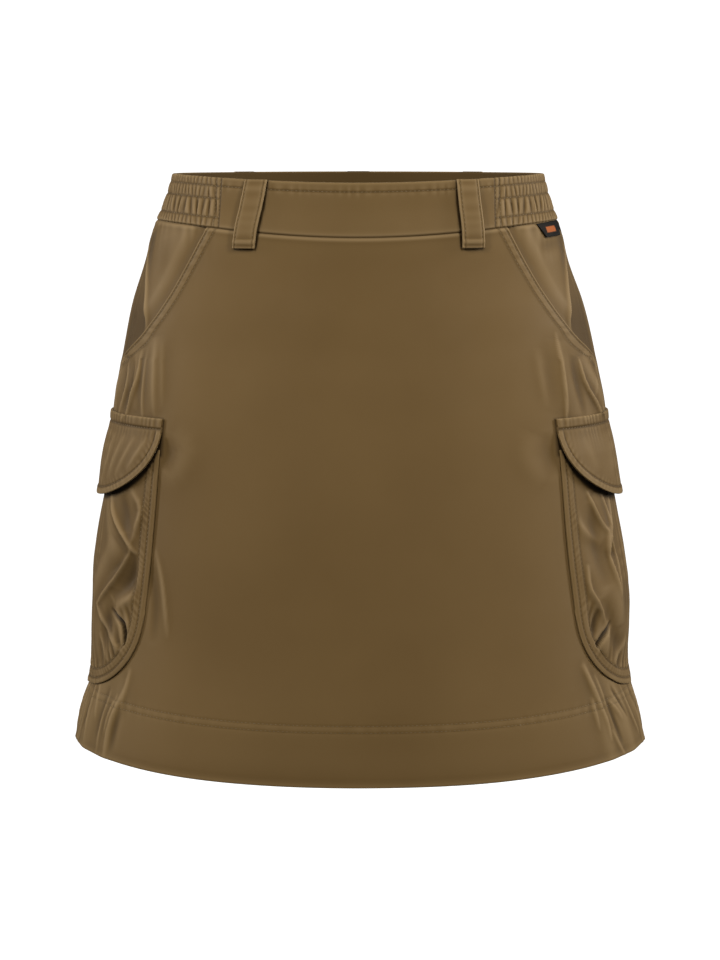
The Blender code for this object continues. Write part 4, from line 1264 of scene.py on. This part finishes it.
Swell = namedtuple("Swell", "height left right")
CARGO_SWELL = (
    Swell(-365, 1.9, 1.9),
    Swell(-352, 2.8, 3.2),
    Swell(-340, 4.6, 5.0),
    Swell(-322, 8.2, 7.6),
    Swell(-295, 10.6, 8.9),
    Swell(-265, 8.3, 8.4),
    Swell(-235, 5.0, 6.5),
    Swell(-205, 2.9, 3.9),
    Swell(-181, 1.9, 1.9),
)
CARGO_CREASES = {
    "left": chalked(
        (1.6, 9, 2, 0, (64, -216), (57, -239), (50, -262)),
        (1.6, 9, 2, 0, (38, -218), (44, -240), (50, -262)),
        (1.8, 9, 2, 0, (50, -262), (48, -290), (46, -318)),
        (-1.8, 8, 2, 0, (68, -292), (56, -322), (44, -352)),
        (1.6, 12, 2, 0, (-4, -210), (5, -250), (14, -290)),
        (-1.6, 12, 2, 0, (-40, -222), (-30, -270), (-20, -316)),
        (2.1, 1.9, 1.2, 0.2, (70, -212), (60, -235), (50, -246)),
        (1.4, 1.7, 1.2, 0, (51, -214), (47, -231), (49, -246)),
        (2, 1.7, 1.2, 0, (35, -214), (45, -236), (51, -252), (54, -264)),
        (2.3, 1.9, 1.2, 0.2, (51, -240), (54, -262), (46, -296)),
        (1.6, 1.7, 1.3, 0, (52, -246), (42, -264), (45, -296)),
        (1.3, 5, 1.6, 0.2, (92, -218), (82, -237), (60, -254)),
        (2, 2.6, 1.3, 0.4, (78, -266), (80, -284), (72, -299), (65, -314)),
        (1.6, 5, 1.7, 0, (60, -312), (72, -324), (84, -338)),
        (1.2, 3, 1.4, 0, (63, -314), (68, -330), (74, -344)),
        (1.3, 3.4, 1.4, 0, (30, -328), (52, -340), (64, -349)),
        (-1.6, 6, 2, 0, (74, -300), (82, -318), (84, -330)),
        (-1.5, 7, 2, 0, (66, -222), (68, -250), (62, -286)),
        (0.6, 4, 1.5, 0, (10, -214), (20, -244), (16, -282), (4, -318)),
        (1.3, 5, 1.5, 0.3, (-44, -224), (-28, -262), (-34, -304)),
        (1.2, 4, 1.5, 0, (-10, -268), (-26, -300), (-38, -330))),
    "right": chalked(
        (2, 10, 2, 0, (34, -214), (50, -241), (66, -268)),
        (1.8, 10, 2, 0, (60, -250), (41, -275), (22, -300)),
        (-1.8, 8, 2, 0, (64, -286), (55, -318), (46, -350)),
        (1.6, 12, 2, 0, (8, -226), (1, -263), (-6, -300)),
        (-1.6, 12, 2, 0, (-44, -214), (-36, -267), (-28, -320)),
        (2.3, 1.9, 1.2, 0.3, (40, -214), (54, -233), (70, -249), (82, -260)),
        (2.3, 2, 1.2, 0.2, (78, -252), (72, -264), (59, -283), (34, -304)),
        (1.9, 2.2, 1.3, 0, (34, -300), (58, -319), (77, -334)),
        (2.4, 6, 1.7, 0.5, (66, -301), (82, -293), (93, -288), (96, -270)),
        (-2.4, 7, 2, 0, (83, -258), (78, -278), (62, -296)),
        (1.4, 3.6, 1.4, 0, (66, -210), (82, -224), (79, -241), (73, -258)),
        (1, 3, 1.4, 0, (88, -214), (84, -228), (78, -242)),
        (-1.4, 6, 2, 0, (58, -216), (66, -232), (68, -244)),
        (1, 2.6, 1.5, 0, (44, -322), (52, -333), (60, -344)),
        (1.1, 2.6, 1.5, 0, (73, -326), (79, -335), (86, -342)),
        (0.6, 4, 1.5, 0, (6, -214), (-6, -246), (2, -284), (10, -320)),
        (1.3, 5, 1.5, 0.3, (-46, -220), (-30, -256), (-36, -300)),
        (1.2, 4, 1.5, 0, (-8, -272), (-24, -302), (-40, -332))),
}

DARTS = {                  # a deep tuck in the front corner of each pocket
    "left": chalked(
        (-2.6, 1.4, 2, 0.4, (58, -312), (69, -319), (78, -327), (86, -340))),
    "right": chalked(
        (-2.8, 1.5, 2, 0.4, (58, -302), (68, -307), (76, -312), (79, -322), (84, -342))),
}


Valley = namedtuple("Valley", "forward height wide high depth")
# Besides sinking the cloth, the same ovals paint shade into the pocket's colour.
CARGO_VALLEYS = {              # where the pocket's cloth sinks between its ridges, in mm
    "left": (
        Valley(82, -313, 11, 13, 0.4),
        Valley(26, -298, 14, 14, 0.5),
        Valley(47, -327, 10, 8, 0.4),
    ),
    "right": (
        Valley(75, -276, 13, 15, 0.65),
        Valley(59, -315, 7, 12, 0.5),
    ),
}


def cargo_valleys(side_name, forward, height):
    """Sum of soft ovals, each depth * exp(-(x / wide) ** 2 - (y / high) ** 2)."""
    return sum(valley.depth * bell(forward - valley.forward, valley.wide)
               * bell(height - valley.height, valley.high) for valley in CARGO_VALLEYS[side_name])


def cargo_out(across, height, side_name):
    """Face of the pocket over the skirt: a flat stitched band round a swollen, creased middle."""
    share = np.clip(np.abs(across) / CARGO_HALF_WIDTH, 0.0, 1.0)
    from_side = CARGO_HALF_WIDTH - np.abs(across)
    from_low = height - oval_edge(across, *CARGO_OVAL)
    inside = ease(from_side / CARGO_SIDE_RAMP) ** 0.6 * ease((from_low + 4) / CARGO_LOW_RAMP) ** 0.5
    edge = LAY_GAP + CARGO_WALL
    swell = np.maximum(smooth_read(CARGO_SWELL, side_name, height) - edge, 0.0)
    out = edge + swell * inside * (1 - 0.12 * share)
    forward = across + CARGO_CENTRE_FORWARD
    from_edge = from_oval(across, height, *CARGO_OVAL)
    free = ease((from_edge - 7) / 9)
    out = out + (crease_relief(CARGO_CREASES[side_name], forward, height)
                 - 1.4 * cargo_valleys(side_name, forward, height)) * free
    run = across * 1.1 + 0.5 * (height + 300)
    low_part = ease((CARGO_STRAIGHT_TO + 10 - height) / 22)
    gathers = uneven(run, 9.5, 0.8 if side_name == "left" else 1.6)
    eased_in = ease((from_edge - 10.5) / 3) * np.exp(-np.maximum(from_edge - 12, 0) / 11)
    out += 0.9 * gathers * low_part * eased_in
    out += 0.3 * ease((CARGO_BAND - from_edge) / 1.2) + ditch(from_edge, CARGO_ROWS, 0.9, 0.5)
    out -= 0.55 * bell(from_edge, 1.8)
    out += crease_relief(DARTS[side_name], forward, height) * ease((from_edge - 9) / 2)
    out += 0.16 * uneven(run + height, 7.0, 1.2) * bell(from_edge - 7.5, 4)
    return out


def on_skirt(across, height, out, side):
    """A place of a pocket or flap: `across` from its centre line, `out` over the skirt's folds."""
    around = side * (quarter(height) - CARGO_CENTRE_FORWARD - across)
    return cloth(around, height, out + np.maximum(skirt_out(around, height), 0.0))


def patch_layers(across, height, out, wall, side):
    """Face and back of a pocket or flap."""
    return on_skirt(across, height, out, side), on_skirt(across, height, out - wall, side)


def cargo_face(across, height, side, side_name):
    """The pocket's face, for its stitches."""
    return on_skirt(across, height, cargo_out(across, height, side_name), side)


def make_cargo_pocket(side, side_name):
    """The pocket's shell: columns are finer on the front half, where the camera sees them."""
    across = spaced([(-82, .25), (-80, .8), (-66, 1.4), (-60, 2.0), (15, 1.8), (30, 1.15), (70, 1.05),
                     (80, .6), (82, .25)])
    down = spaced([(0, .012), (.15, .016), (.2, .0078), (.9, .0072), (.98, .005), (1, .003)])[:, None]
    height = CARGO_MOUTH + down * (oval_edge(across, *CARGO_OVAL) - CARGO_MOUTH)
    across = across + 0 * height
    layers = patch_layers(across, height, cargo_out(across, height, side_name), CARGO_WALL, side)
    forward = across + CARGO_CENTRE_FORWARD
    from_edge = from_oval(across, height, *CARGO_OVAL)
    dart = crease_relief(DARTS[side_name], forward, height) / DARTS[side_name][0].rise
    # Painted light: a painted shadow below the flap's edge, painted shade in the valleys, the stitched
    # lines and the dart, and a painted highlight along the turned edge.
    under = bell(np.maximum(oval_edge(across, *FLAP_OVAL) - height, 0), 3.5)
    deep = cargo_valleys(side_name, forward, height) * ease((from_edge - 9) / 4)
    marks = {"worn": np.exp(-np.maximum(from_edge, 0) / 0.9),
             "deep": deep - ditch(from_edge, CARGO_ROWS, 0.9, 0.38),
             "gap": np.maximum(1.4 * dart * ease((from_edge - 9) / 2) - 0.2, under)}
    return dress("cargo_pocket_" + side_name, (across, height), layers, marks, fold=0.6)


for side, side_name in SIDES:
    make_cargo_pocket(side, side_name)

# %% [markdown]
# ## Pocket flaps
#
# A flap is two layers sewn right sides together and turned, so its edge is full and round. It is
# sewn on upside down, folded over its own seam and stitched again seven millimetres below the
# fold. That makes the little rolled band along its top. Below it the flap hangs free and stands
# off the pocket, and the gap under it, darkened further by a painted shadow on the pocket, is the
# darkest place of the whole garment.

# %% Flaps
FLAP_WALL = 1.8
FLAP_END_SINK = 0.25
MOUTH_CLEARANCE = 15.0
FLAP_TOP_BAND = 7.2            # the stitched ditch under the rolled top
FLAP_EDGE_ROW = 5.2            # the stitched line inside the round edge

FlapSwell = namedtuple("FlapSwell", "height out")
FLAP_SWELL = (
    FlapSwell(-220, 10.7),
    FlapSwell(-208, 9.2),
    FlapSwell(-193, 7.2),
    FlapSwell(-177, 4.4),
    FlapSwell(-167, 2.3),
    FlapSwell(-158, 1.6),
)
FLAP_CREASES = {
    "left": chalked(
        (0.4, 6, 1.8, 0, (70, -172), (66, -186), (60, -200)),
        (0.4, 8, 1.8, 0, (30, -172), (34, -190), (40, -208)),
        (0.5, 8, 1.8, 0, (-20, -172), (-14, -190), (-10, -208))),
    "right": chalked(
        (0.9, 3.4, 1.5, 0, (84, -171), (76, -184), (66, -198)),
        (0.8, 3.4, 1.5, 0, (70, -171), (62, -186), (52, -204)),
        (0.8, 3.8, 1.5, 0, (56, -171), (48, -188), (40, -208)),
        (0.7, 4, 1.5, 0, (38, -171), (34, -190), (28, -212)),
        (0.6, 5, 1.6, 0, (10, -171), (8, -190), (4, -212)),
        (0.6, 6, 1.6, 0, (-26, -171), (-24, -188), (-18, -206))),
}


def flap_out(across, height, side_name):
    """Face of the flap over the skirt: its hang, its full edge, its rolled top and puckers."""
    share = np.abs(across) / FLAP_HALF_WIDTH
    out = smooth_read(FLAP_SWELL, "out", height) * (1 - FLAP_END_SINK * share ** 3)
    over_pocket = cargo_hull(across, height, side_name)
    near_pocket = ease((CARGO_MOUTH + MOUTH_CLEARANCE - height) / (1.3 * MOUTH_CLEARANCE))
    short = over_pocket * near_pocket + 0.1 + FLAP_WALL - out
    out = out + (short + np.sqrt(short ** 2 + 1.5 * near_pocket)) / 2
    from_edge = from_oval(across, height, *FLAP_OVAL)
    below_fold = FLAP_TOP - height
    puff = np.sin(np.pi * np.clip(below_fold / FLAP_TOP_BAND, 0, 1)) ** 0.6
    pucker = uneven(across, 5.2, 0.5 if side_name == "left" else 1.1)
    out = out + (0.1 + 0.22 * pucker) * puff - 0.55 * bell(below_fold - FLAP_TOP_BAND, 1.0)
    hangs = ease((below_fold - FLAP_TOP_BAND) / 4)
    within = from_edge - FLAP_EDGE_ROW
    out += hangs * (0.5 * ease(-within / 1.2) - 0.5 * bell(within, 0.9))
    out += hangs * 0.14 * uneven(across + height, 7.0, 1.4) * bell(within, 4)
    forward = across + CARGO_CENTRE_FORWARD
    out += crease_relief(FLAP_CREASES[side_name], forward, height) * hangs * ease((from_edge - 3) / 5)
    return out + 0.3 * pucker * np.exp(-np.maximum(below_fold - FLAP_TOP_BAND, 0) / 6) * hangs


def cargo_hull(across, height, side_name):
    """The most that the pocket under the flap stands off the skirt at a place near its mouth."""
    height = np.minimum(height, CARGO_MOUTH)
    share = np.clip(np.abs(across) / CARGO_HALF_WIDTH, 0.0, 1.0)
    inside = ease((CARGO_HALF_WIDTH - np.abs(across)) / CARGO_SIDE_RAMP) ** 0.6
    swell = smooth_read(CARGO_SWELL, side_name, height) - LAY_GAP - CARGO_WALL
    return LAY_GAP + CARGO_WALL + 0.6 + np.maximum(swell, 0) * inside * (1 - 0.12 * share) + 0.4 * inside


def flap_face(across, height, side, side_name):
    """The flap's face, for its stitches."""
    return on_skirt(across, height, flap_out(across, height, side_name), side)


def make_cargo_flap(side, side_name):
    """The flap's shell, with a full round edge."""
    across = spaced([(-83, .25), (-81, .8), (-60, 1.5), (10, 1.4), (60, 1.0), (79, .8), (82, .4),
                     (83, .25)])
    down = spaced([(0, .012), (.1, .020), (.13, .012), (.18, .012), (.24, .020), (.8, .020), (.93, .012),
                   (1, .008)])[:, None]
    height = FLAP_TOP + down * (oval_edge(across, *FLAP_OVAL) - FLAP_TOP)
    across = across + 0 * height
    layers = patch_layers(across, height, flap_out(across, height, side_name), FLAP_WALL, side)
    from_edge, below_fold = from_oval(across, height, *FLAP_OVAL), FLAP_TOP - height
    # Painted highlight on the round edge and the rolled top; painted shade in the stitched lines.
    worn = np.exp(-np.maximum(from_edge, 0) / 1.1) * (below_fold > 7) + 0.8 * np.exp(-below_fold / 1.1)
    edge_row = 0.2 * bell(from_edge - FLAP_EDGE_ROW, 0.9) * (below_fold > FLAP_TOP_BAND)
    marks = {"worn": worn, "deep": 0.5 * bell(below_fold - FLAP_TOP_BAND, 1.2) + edge_row}
    return dress("cargo_flap_" + side_name, (across, height), layers, marks, fold=0.5)


for side, side_name in SIDES:
    make_cargo_flap(side, side_name)

# %% [markdown]
# ## The tab
#
# A small black woven tab is caught in the waist seam on the wearer's left hip. It carries a plain
# orange bar and nothing else. Its front end is cut on a slant.

# %% Tab
LABEL_HEIGHT = 10.0
LABEL_FROM, LABEL_TO = 20.0, 58.0
LABEL_SLANT = 7.0
LABEL_WALL = 0.9
BAR_FROM, BAR_TO = 33.0, 49.0  # forward of the widest point
BAR_TOP, BAR_LOW = 2.6, 7.2    # below the tab's top edge


def make_label():
    """The tab: rows down from the seam, columns from its back end to its slanted front end."""
    down = np.linspace(0, 1, 30)[:, None]
    share = np.linspace(0, 1, 76)
    forward = LABEL_FROM + share * (LABEL_TO - LABEL_SLANT * down - LABEL_FROM)
    height = waist_seam(WAIST_QUARTER - forward) - SEAM_GAP - down * LABEL_HEIGHT
    around = quarter(height) - forward
    out = LAY_GAP + LABEL_WALL + 0.25 * np.sin(np.pi * share) * down + 0.12 * np.sin(forward / 6.0)
    below = down * LABEL_HEIGHT
    bar = (ease((forward - BAR_FROM) / 0.6) * ease((BAR_TO - forward) / 0.6)
           * ease((below - BAR_TOP) / 0.5) * ease((BAR_LOW - below) / 0.5))
    layers = on_body(around, height, out, LABEL_WALL)
    return dress("label", (around, height), layers, {"bar": bar}, fold=0.4,
                 material=tape, name="tab_tape")


make_label()

# %% [markdown]
# ## Inner shorts
#
# Nothing of the shorts shows from the front, but they make the garment a skort. Each leg is half
# of the seat above and a whole tube below the crotch, in plain knit. It is blended from the
# skirt's own section into an ellipse round the thigh, and hangs in a few soft upright folds.

# %% Shorts
SHORTS_WALL = 1.1
SHORTS_SEAM_SHARE = 0.0007
SHORTS_TOP = -11.0
CROTCH_START = -130.0
CROTCH_LOW = -250.0
SHORTS_HEM = -330.0
SHORTS_HEM_ROW = 20.0

LegRing = namedtuple("LegRing", "height inseam_across half_width half_depth")
LEG_RINGS = (
    LegRing(-335, 3.5, 86.0, 96.0),
    LegRing(-290, 1.6, 86.0, 97.0),
    LegRing(-250, 0.8, 86.0, 98.0),
    LegRing(-130, 0.8, 86.0, 100.0),
)
Inset = namedtuple("Inset", "height inside")
SHORTS_INSET = (
    Inset(-250, 24.0),
    Inset(-180, 21.0),
    Inset(-120, 17.0),
    Inset(-60, 10.0),
    Inset(-30, 5.2),
    Inset(-22, 4.2),
    Inset(-10, 3.0),
)


def leg_surface(share, heights):
    """Seat + legness * (leg ring - seat): legness grows as 1 - sqrt(1 - fall ** 2) to the crotch."""
    sway = smooth_read(SECTIONS, "sway", heights)
    seat = cloth(share * half(heights), heights, -smooth_read(SHORTS_INSET, "inside", heights))
    seat[..., 0] -= sway
    turn = 2 * np.pi * share - np.pi / 2
    half_width = smooth_read(LEG_RINGS, "half_width", heights)
    centre = smooth_read(LEG_RINGS, "inseam_across", heights) + half_width
    half_depth = smooth_read(LEG_RINGS, "half_depth", heights)
    leg = np.stack([centre + half_width * np.sin(turn), -half_depth * np.cos(turn), heights], axis=-1)
    fall = np.clip((CROTCH_START - heights) / (CROTCH_START - CROTCH_LOW), 0.0, 1.0)
    return seat + (1 - np.sqrt(1 - fall ** 2))[..., None] * (leg - seat)


def make_shorts_leg(side, side_name):
    """One leg: the surface, its soft folds and its stitched hem, over the same wall."""
    share = spaced([(SHORTS_SEAM_SHARE, .006), (.06, .013), (.94, .013), (1 - SHORTS_SEAM_SHARE, .006)])
    heights = spaced([(SHORTS_HEM, 1.2), (-326, 3.0), (-313, 1.2), (-307, 1.2), (-300, 4.5),
                      (-30, 4.5), (SHORTS_TOP, 2.0)])[::-1, None] + 0 * share
    plain = leg_surface(share, heights)
    hang = ease((-60 - heights) / 120) * ease(share * 14) * ease((1 - share) * 14)
    relief = hang * (0.5 * np.sin(31 * share + heights / 38) + 0.35 * np.sin(53 * share - heights / 27 + 1))
    above_hem = heights - SHORTS_HEM
    relief = relief + ditch(above_hem, (SHORTS_HEM_ROW,), 0.9, 0.25)
    normals = surface_normals(plain)
    outer = plain + normals * (relief - 0.3)[..., None]
    inner = plain - normals * (SHORTS_WALL - relief)[..., None]
    outer[..., 0] = np.maximum(outer[..., 0], SEAM_GAP)
    inner[..., 0] = np.maximum(inner[..., 0], SEAM_GAP)
    mirror = np.array([side, 1.0, 1.0])
    middle = smooth_read(SECTIONS, "sway", heights)[..., None] * np.array([1.0, 0.0, 0.0])
    layers = outer * mirror + middle, inner * mirror + middle
    node = "shorts_leg_" + side_name
    return dress(node, (side * share * 2 * half(0.0), heights), layers, {}, fold=0.3,
                 material=knit, name=node + "_knit")


for side, side_name in SIDES:
    make_shorts_leg(side, side_name)

# %% [markdown]
# ## Sewing
#
# Every stitched line is real thread. One stitch is a short bent yarn of 22 points, which dives
# into the cloth at both ends. A line is chalked as a path on a piece's face, cut into equal steps
# and set with stitches, all of them in one numpy product, and all the lines of a kind are joined
# into one mesh. The needle's steps are about three millimetres.

# %% Stitch helpers
STITCH_PITCH = 3.2
STITCH_LENGTH = 2.5
THREAD_WIDTH = 0.5
THREAD_LIFT = 0.10
THREAD_DIVE = 0.42
HEM_LINE = -368.0              # near the hem's stitched lines


def stitch_pattern():
    """One stitch along x: four rings of five points on a bent line, and a point at each end."""
    along = np.array([-0.42, -0.15, 0.15, 0.42])
    thick = np.array([0.7, 1.0, 1.0, 0.7])
    turn = np.arange(5) / 5 * 2 * np.pi
    rings = np.stack([np.repeat(along * STITCH_LENGTH, 5), np.outer(thick, np.cos(turn)).ravel(),
                      0.75 * np.outer(thick, np.sin(turn)).ravel()], -1)
    rings[:, 1:] *= THREAD_WIDTH / 2
    points = np.concatenate([rings, [[-STITCH_LENGTH / 2, 0, 0], [STITCH_LENGTH / 2, 0, 0]]])
    points[:, 2] += THREAD_LIFT - THREAD_DIVE * (2 * points[:, 0] / STITCH_LENGTH) ** 2
    ring = np.arange(15)
    after = ring // 5 * 5 + (ring + 1) % 5
    quads = np.stack([ring, after, after + 5, ring + 5], -1)
    first, last = np.arange(5), 15 + np.arange(5)
    caps = np.concatenate([np.stack([0 * first + 20, (first + 1) % 5, first], -1),
                           np.stack([0 * last + 21, last, 15 + (last - 14) % 5], -1)])
    return points, quads, caps


def stitch_line(surface, first, second):
    """Frames of the stitches along a chalked path: places, directions and normals of the cloth."""
    here = surface(first, second)
    one = surface(first + 0.4, second) - here
    two = surface(first, second + 0.4) - here
    normal = unit(np.cross(one, two))
    outside = (normal[:, 0] * here[:, 0] + normal[:, 1] * here[:, 1]) > 0
    normal = np.where(outside[:, None], normal, -normal)
    run = np.concatenate([[0.0], np.cumsum(np.linalg.norm(np.diff(here, axis=0), axis=1))])
    starts = np.arange(0.4, run[-1] - STITCH_LENGTH, STITCH_PITCH)

    def at(distance, values):
        return np.stack([np.interp(distance, run, values[:, k]) for k in range(3)], -1)

    middles = starts + STITCH_LENGTH / 2
    along = unit(at(starts + STITCH_LENGTH, here) - at(starts, here))
    return at(middles, here), along, unit(at(middles, normal))


def sew(name, lines):
    """One mesh of all the stitches of some lines: place + x * along + y * across + z * normal."""
    pattern, quads, caps = stitch_pattern()
    places, along, normal = (np.concatenate(parts) for parts in zip(*lines))
    across = unit(np.cross(normal, along))
    normal = np.cross(along, across)
    frames = np.stack([along, across, normal], axis=1)
    points = (places[:, None] + np.einsum("pk,skx->spx", pattern, frames)).reshape(-1, 3)
    shift = np.arange(len(places))[:, None, None] * len(pattern)
    faces = (quads + shift).reshape(-1, 4).tolist() + (caps + shift).reshape(-1, 3).tolist()
    piece = new_piece(name, points, faces, thread)
    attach(piece, "root")
    print(name, len(places), "stitches")
    return piece


def level(start, end, step=1.5):
    """Even places about `step` mm apart."""
    return np.linspace(start, end, max(int(abs(end - start) / step), 8))


# %% Sewing the skirt
lines = []
seam, full = float(side_seam(HEM_LINE)), 2 * float(half(HEM_LINE))
for above in HEM_ROWS:
    for around in (level(1 - seam, seam - 1), level(seam + 1, full - seam - 1)):
        lines.append(stitch_line(skirt_face, around, hem(signed(around, HEM_LINE)) + above))
sew("hem_stitches", lines)

lines = []
for side in (1, -1):
    for into in SLANT_ROWS:
        height = level(-18.0, SLANT_END + 4, 1.0)
        around = np.array(smooth_read(SLANT_EDGE, "around", height))
        slope = np.gradient(around, height)
        beyond = height < SLANT_EDGE[0].height
        run_on = slope[~beyond][-2]
        around = np.where(beyond, SLANT_EDGE[0].around + (height - SLANT_EDGE[0].height) * run_on, around)
        slope = np.where(beyond, run_on, slope)
        around = around - into * np.hypot(1.0, slope)
        keep = around < side_seam(height) - 1.0
        lines.append(stitch_line(skirt_face, side * around[keep], height[keep]))
sew("hand_pocket_stitches", lines)


# %% Sewing the waistband
def plain_band_face(around, below_top):
    """The plain band's face, for its stitches."""
    return cloth(around, band_height(signed(around, 0.0), below_top), plain_band_out(around, below_top))


def gathered_face(around, below_top, side):
    """The gathered band's face, for its stitches."""
    share = (np.abs(around) - ELASTIC_FROM) / (ELASTIC_TO - ELASTIC_FROM)
    return cloth(around, band_height(around, below_top), gathered_out(share, below_top, side))


lines = []
back_end = 2 * float(half(12.0)) - BACK_START
for start, end in ((-BAND_FRONT_HALF, BAND_FRONT_HALF), (BACK_START, back_end)):
    around = level(start + 1, end - 1)
    lines.append(stitch_line(plain_band_face, around, TOP_STITCH + 0 * around))
for side in (1, -1):
    face = partial(gathered_face, side=side)
    for below in ELASTIC_ROWS:
        around = side * level(BAND_FRONT_HALF + 1.5, ELASTIC_TO - 1, 0.8)
        lines.append(stitch_line(face, around, below + 0 * around))
    for into in END_ROWS:
        below = level(1.0, 38.0, 1.0)
        lines.append(stitch_line(face, side * (ELASTIC_FROM + into) + 0 * below, below))
sew("waistband_stitches", lines)

lines = []
for place in BELT_LOOPS:
    for across in LOOP_ROWS:
        down = np.linspace(0.02, 0.94, 60)
        lines.append(stitch_line(partial(loop_face, place), across + 0 * down, down))
sew("belt_loop_stitches", lines)

# %% Sewing the pockets
lines = []
for side, side_name in SIDES:
    for into in CARGO_ROWS:
        turn = np.linspace(0, np.pi, 120)
        p = CARGO_ROUNDNESS
        size = (np.abs(np.cos(turn)) ** p + np.abs(np.sin(turn)) ** p) ** (-1 / p)
        round_across = (CARGO_HALF_WIDTH - into) * np.cos(turn) * size
        round_height = CARGO_STRAIGHT_TO + (CARGO_LOW - CARGO_STRAIGHT_TO + into) * np.sin(turn) * size
        straight = level(FLAP_CORNER - 14, CARGO_STRAIGHT_TO)
        beside = CARGO_HALF_WIDTH - into + 0 * straight
        across = np.concatenate([beside, round_across[1:-1], -beside])
        height = np.concatenate([straight, round_height[1:-1], straight[::-1]])
        lines.append(stitch_line(partial(cargo_face, side=side, side_name=side_name), across, height))
sew("cargo_pocket_stitches", lines)

lines = []
for side, side_name in SIDES:
    face = partial(flap_face, side=side, side_name=side_name)
    across = level(-FLAP_HALF_WIDTH + 1.5, FLAP_HALF_WIDTH - 1.5, 0.8)
    lines.append(stitch_line(face, across, FLAP_TOP - FLAP_TOP_BAND + 0 * across))
    turn = np.linspace(0.10, np.pi - 0.10, 160)
    lines.append(stitch_line(face, (FLAP_HALF_WIDTH - FLAP_EDGE_ROW) * np.cos(turn),
                             FLAP_CORNER + (FLAP_LOW - FLAP_CORNER + FLAP_EDGE_ROW) * np.sin(turn)))
sew("cargo_flap_stitches", lines)

# %% [markdown]
# ## Light and ground
#
# The picture has the even white ground of a shop's page. A white bowl, a floor that curves up
# into a round wall, gives that from every side. It glows a little, so that it stays white under
# weak lamps, and no light bounces from it onto the cloth: that would fill every crease. Two soft
# boxes stand in front, high up on both sides, so that the light falls off towards the hem and the
# flaps and loops shade what lies under them. Two taller ones stand at the sides, low and a little
# behind, and draw a highlight along the creases of the flanks.

# %% Ground
FLOOR_HEIGHT = -1000.0         # mm
BOWL_RADIUS = 6000.0
BOWL_BEND = 1500.0
BOWL_TOP = 6000.0

white = bpy.data.materials.new("white_ground")
white.use_nodes = True
ground = white.node_tree.nodes["Principled BSDF"]
ground.inputs["Base Color"].default_value = (0.9, 0.9, 0.9, 1.0)
ground.inputs["Roughness"].default_value = 1.0
ground.inputs["Emission Color"].default_value = (1.0, 1.0, 1.0, 1.0)
ground.inputs["Emission Strength"].default_value = 1.0


def bowl_profile():
    """Floor from the middle out, a quarter circle of radius BOWL_BEND, and an upright wall."""
    turn = np.linspace(0, np.pi / 2, 17)
    bend = BOWL_RADIUS - BOWL_BEND + BOWL_BEND * np.sin(turn)
    radius = np.concatenate([[0.2, 2000.0, 4000.0], bend, [BOWL_RADIUS]])
    height = np.concatenate([[0.0] * 3, BOWL_BEND * (1 - np.cos(turn)), [BOWL_TOP]]) + FLOOR_HEIGHT
    return radius, height


radius, height = bowl_profile()
turn = np.linspace(0, 2 * np.pi, 65)
bowl = np.stack([radius[:, None] * np.cos(turn), radius[:, None] * np.sin(turn),
                 height[:, None] + 0 * turn], -1)
index = np.arange(bowl.shape[0] * bowl.shape[1]).reshape(bowl.shape[:2])
quads = np.stack([index[:-1, :-1], index[1:, :-1], index[1:, 1:], index[:-1, 1:]], -1).reshape(-1, 4)
backdrop = new_piece("white_bowl", bowl.reshape(-1, 3), quads.tolist(), white)
backdrop.visible_diffuse = False
backdrop.visible_glossy = False
backdrop.visible_shadow = False

# %% Lights
SoftBox = namedtuple("SoftBox", "name place aim width height power")
SOFT_BOXES = (                 # metres and watts
    SoftBox("left_box", (-1.2, -1.7, 1.1), (0.0, 0.0, -0.14), 0.35, 0.8, 30.0),
    SoftBox("right_box", (1.2, -1.7, 1.1), (0.0, 0.0, -0.14), 0.35, 0.8, 33.0),
    SoftBox("left_rim", (-1.6, 0.20, 0.35), (0.0, 0.0, -0.14), 0.3, 1.0, 14.5),
    SoftBox("right_rim", (1.6, 0.20, 0.35), (0.0, 0.0, -0.14), 0.3, 1.0, 17.5),
)
SKY_LIGHT = 0.10


def add_soft_box(box):
    """An area light that looks from its place to its aim."""
    data = bpy.data.lights.new(box.name, "AREA")
    data.shape = "RECTANGLE"
    data.size, data.size_y, data.energy = box.width, box.height, box.power
    lamp = bpy.data.objects.new(box.name, data)
    lamp.location = box.place
    toward = np.subtract(box.aim, box.place)
    flat = np.hypot(toward[0], toward[1])
    lamp.rotation_euler = (np.pi / 2 + np.arctan2(toward[2], flat), 0.0,
                           np.arctan2(toward[1], toward[0]) - np.pi / 2)
    lamp.visible_camera = False
    scene.collection.objects.link(lamp)


for box in SOFT_BOXES:
    add_soft_box(box)
world = bpy.data.worlds.new("studio")
world.use_nodes = True
world.node_tree.nodes["Background"].inputs["Color"].default_value = (1.0, 1.0, 1.0, 1.0)
world.node_tree.nodes["Background"].inputs["Strength"].default_value = SKY_LIGHT
scene.world = world
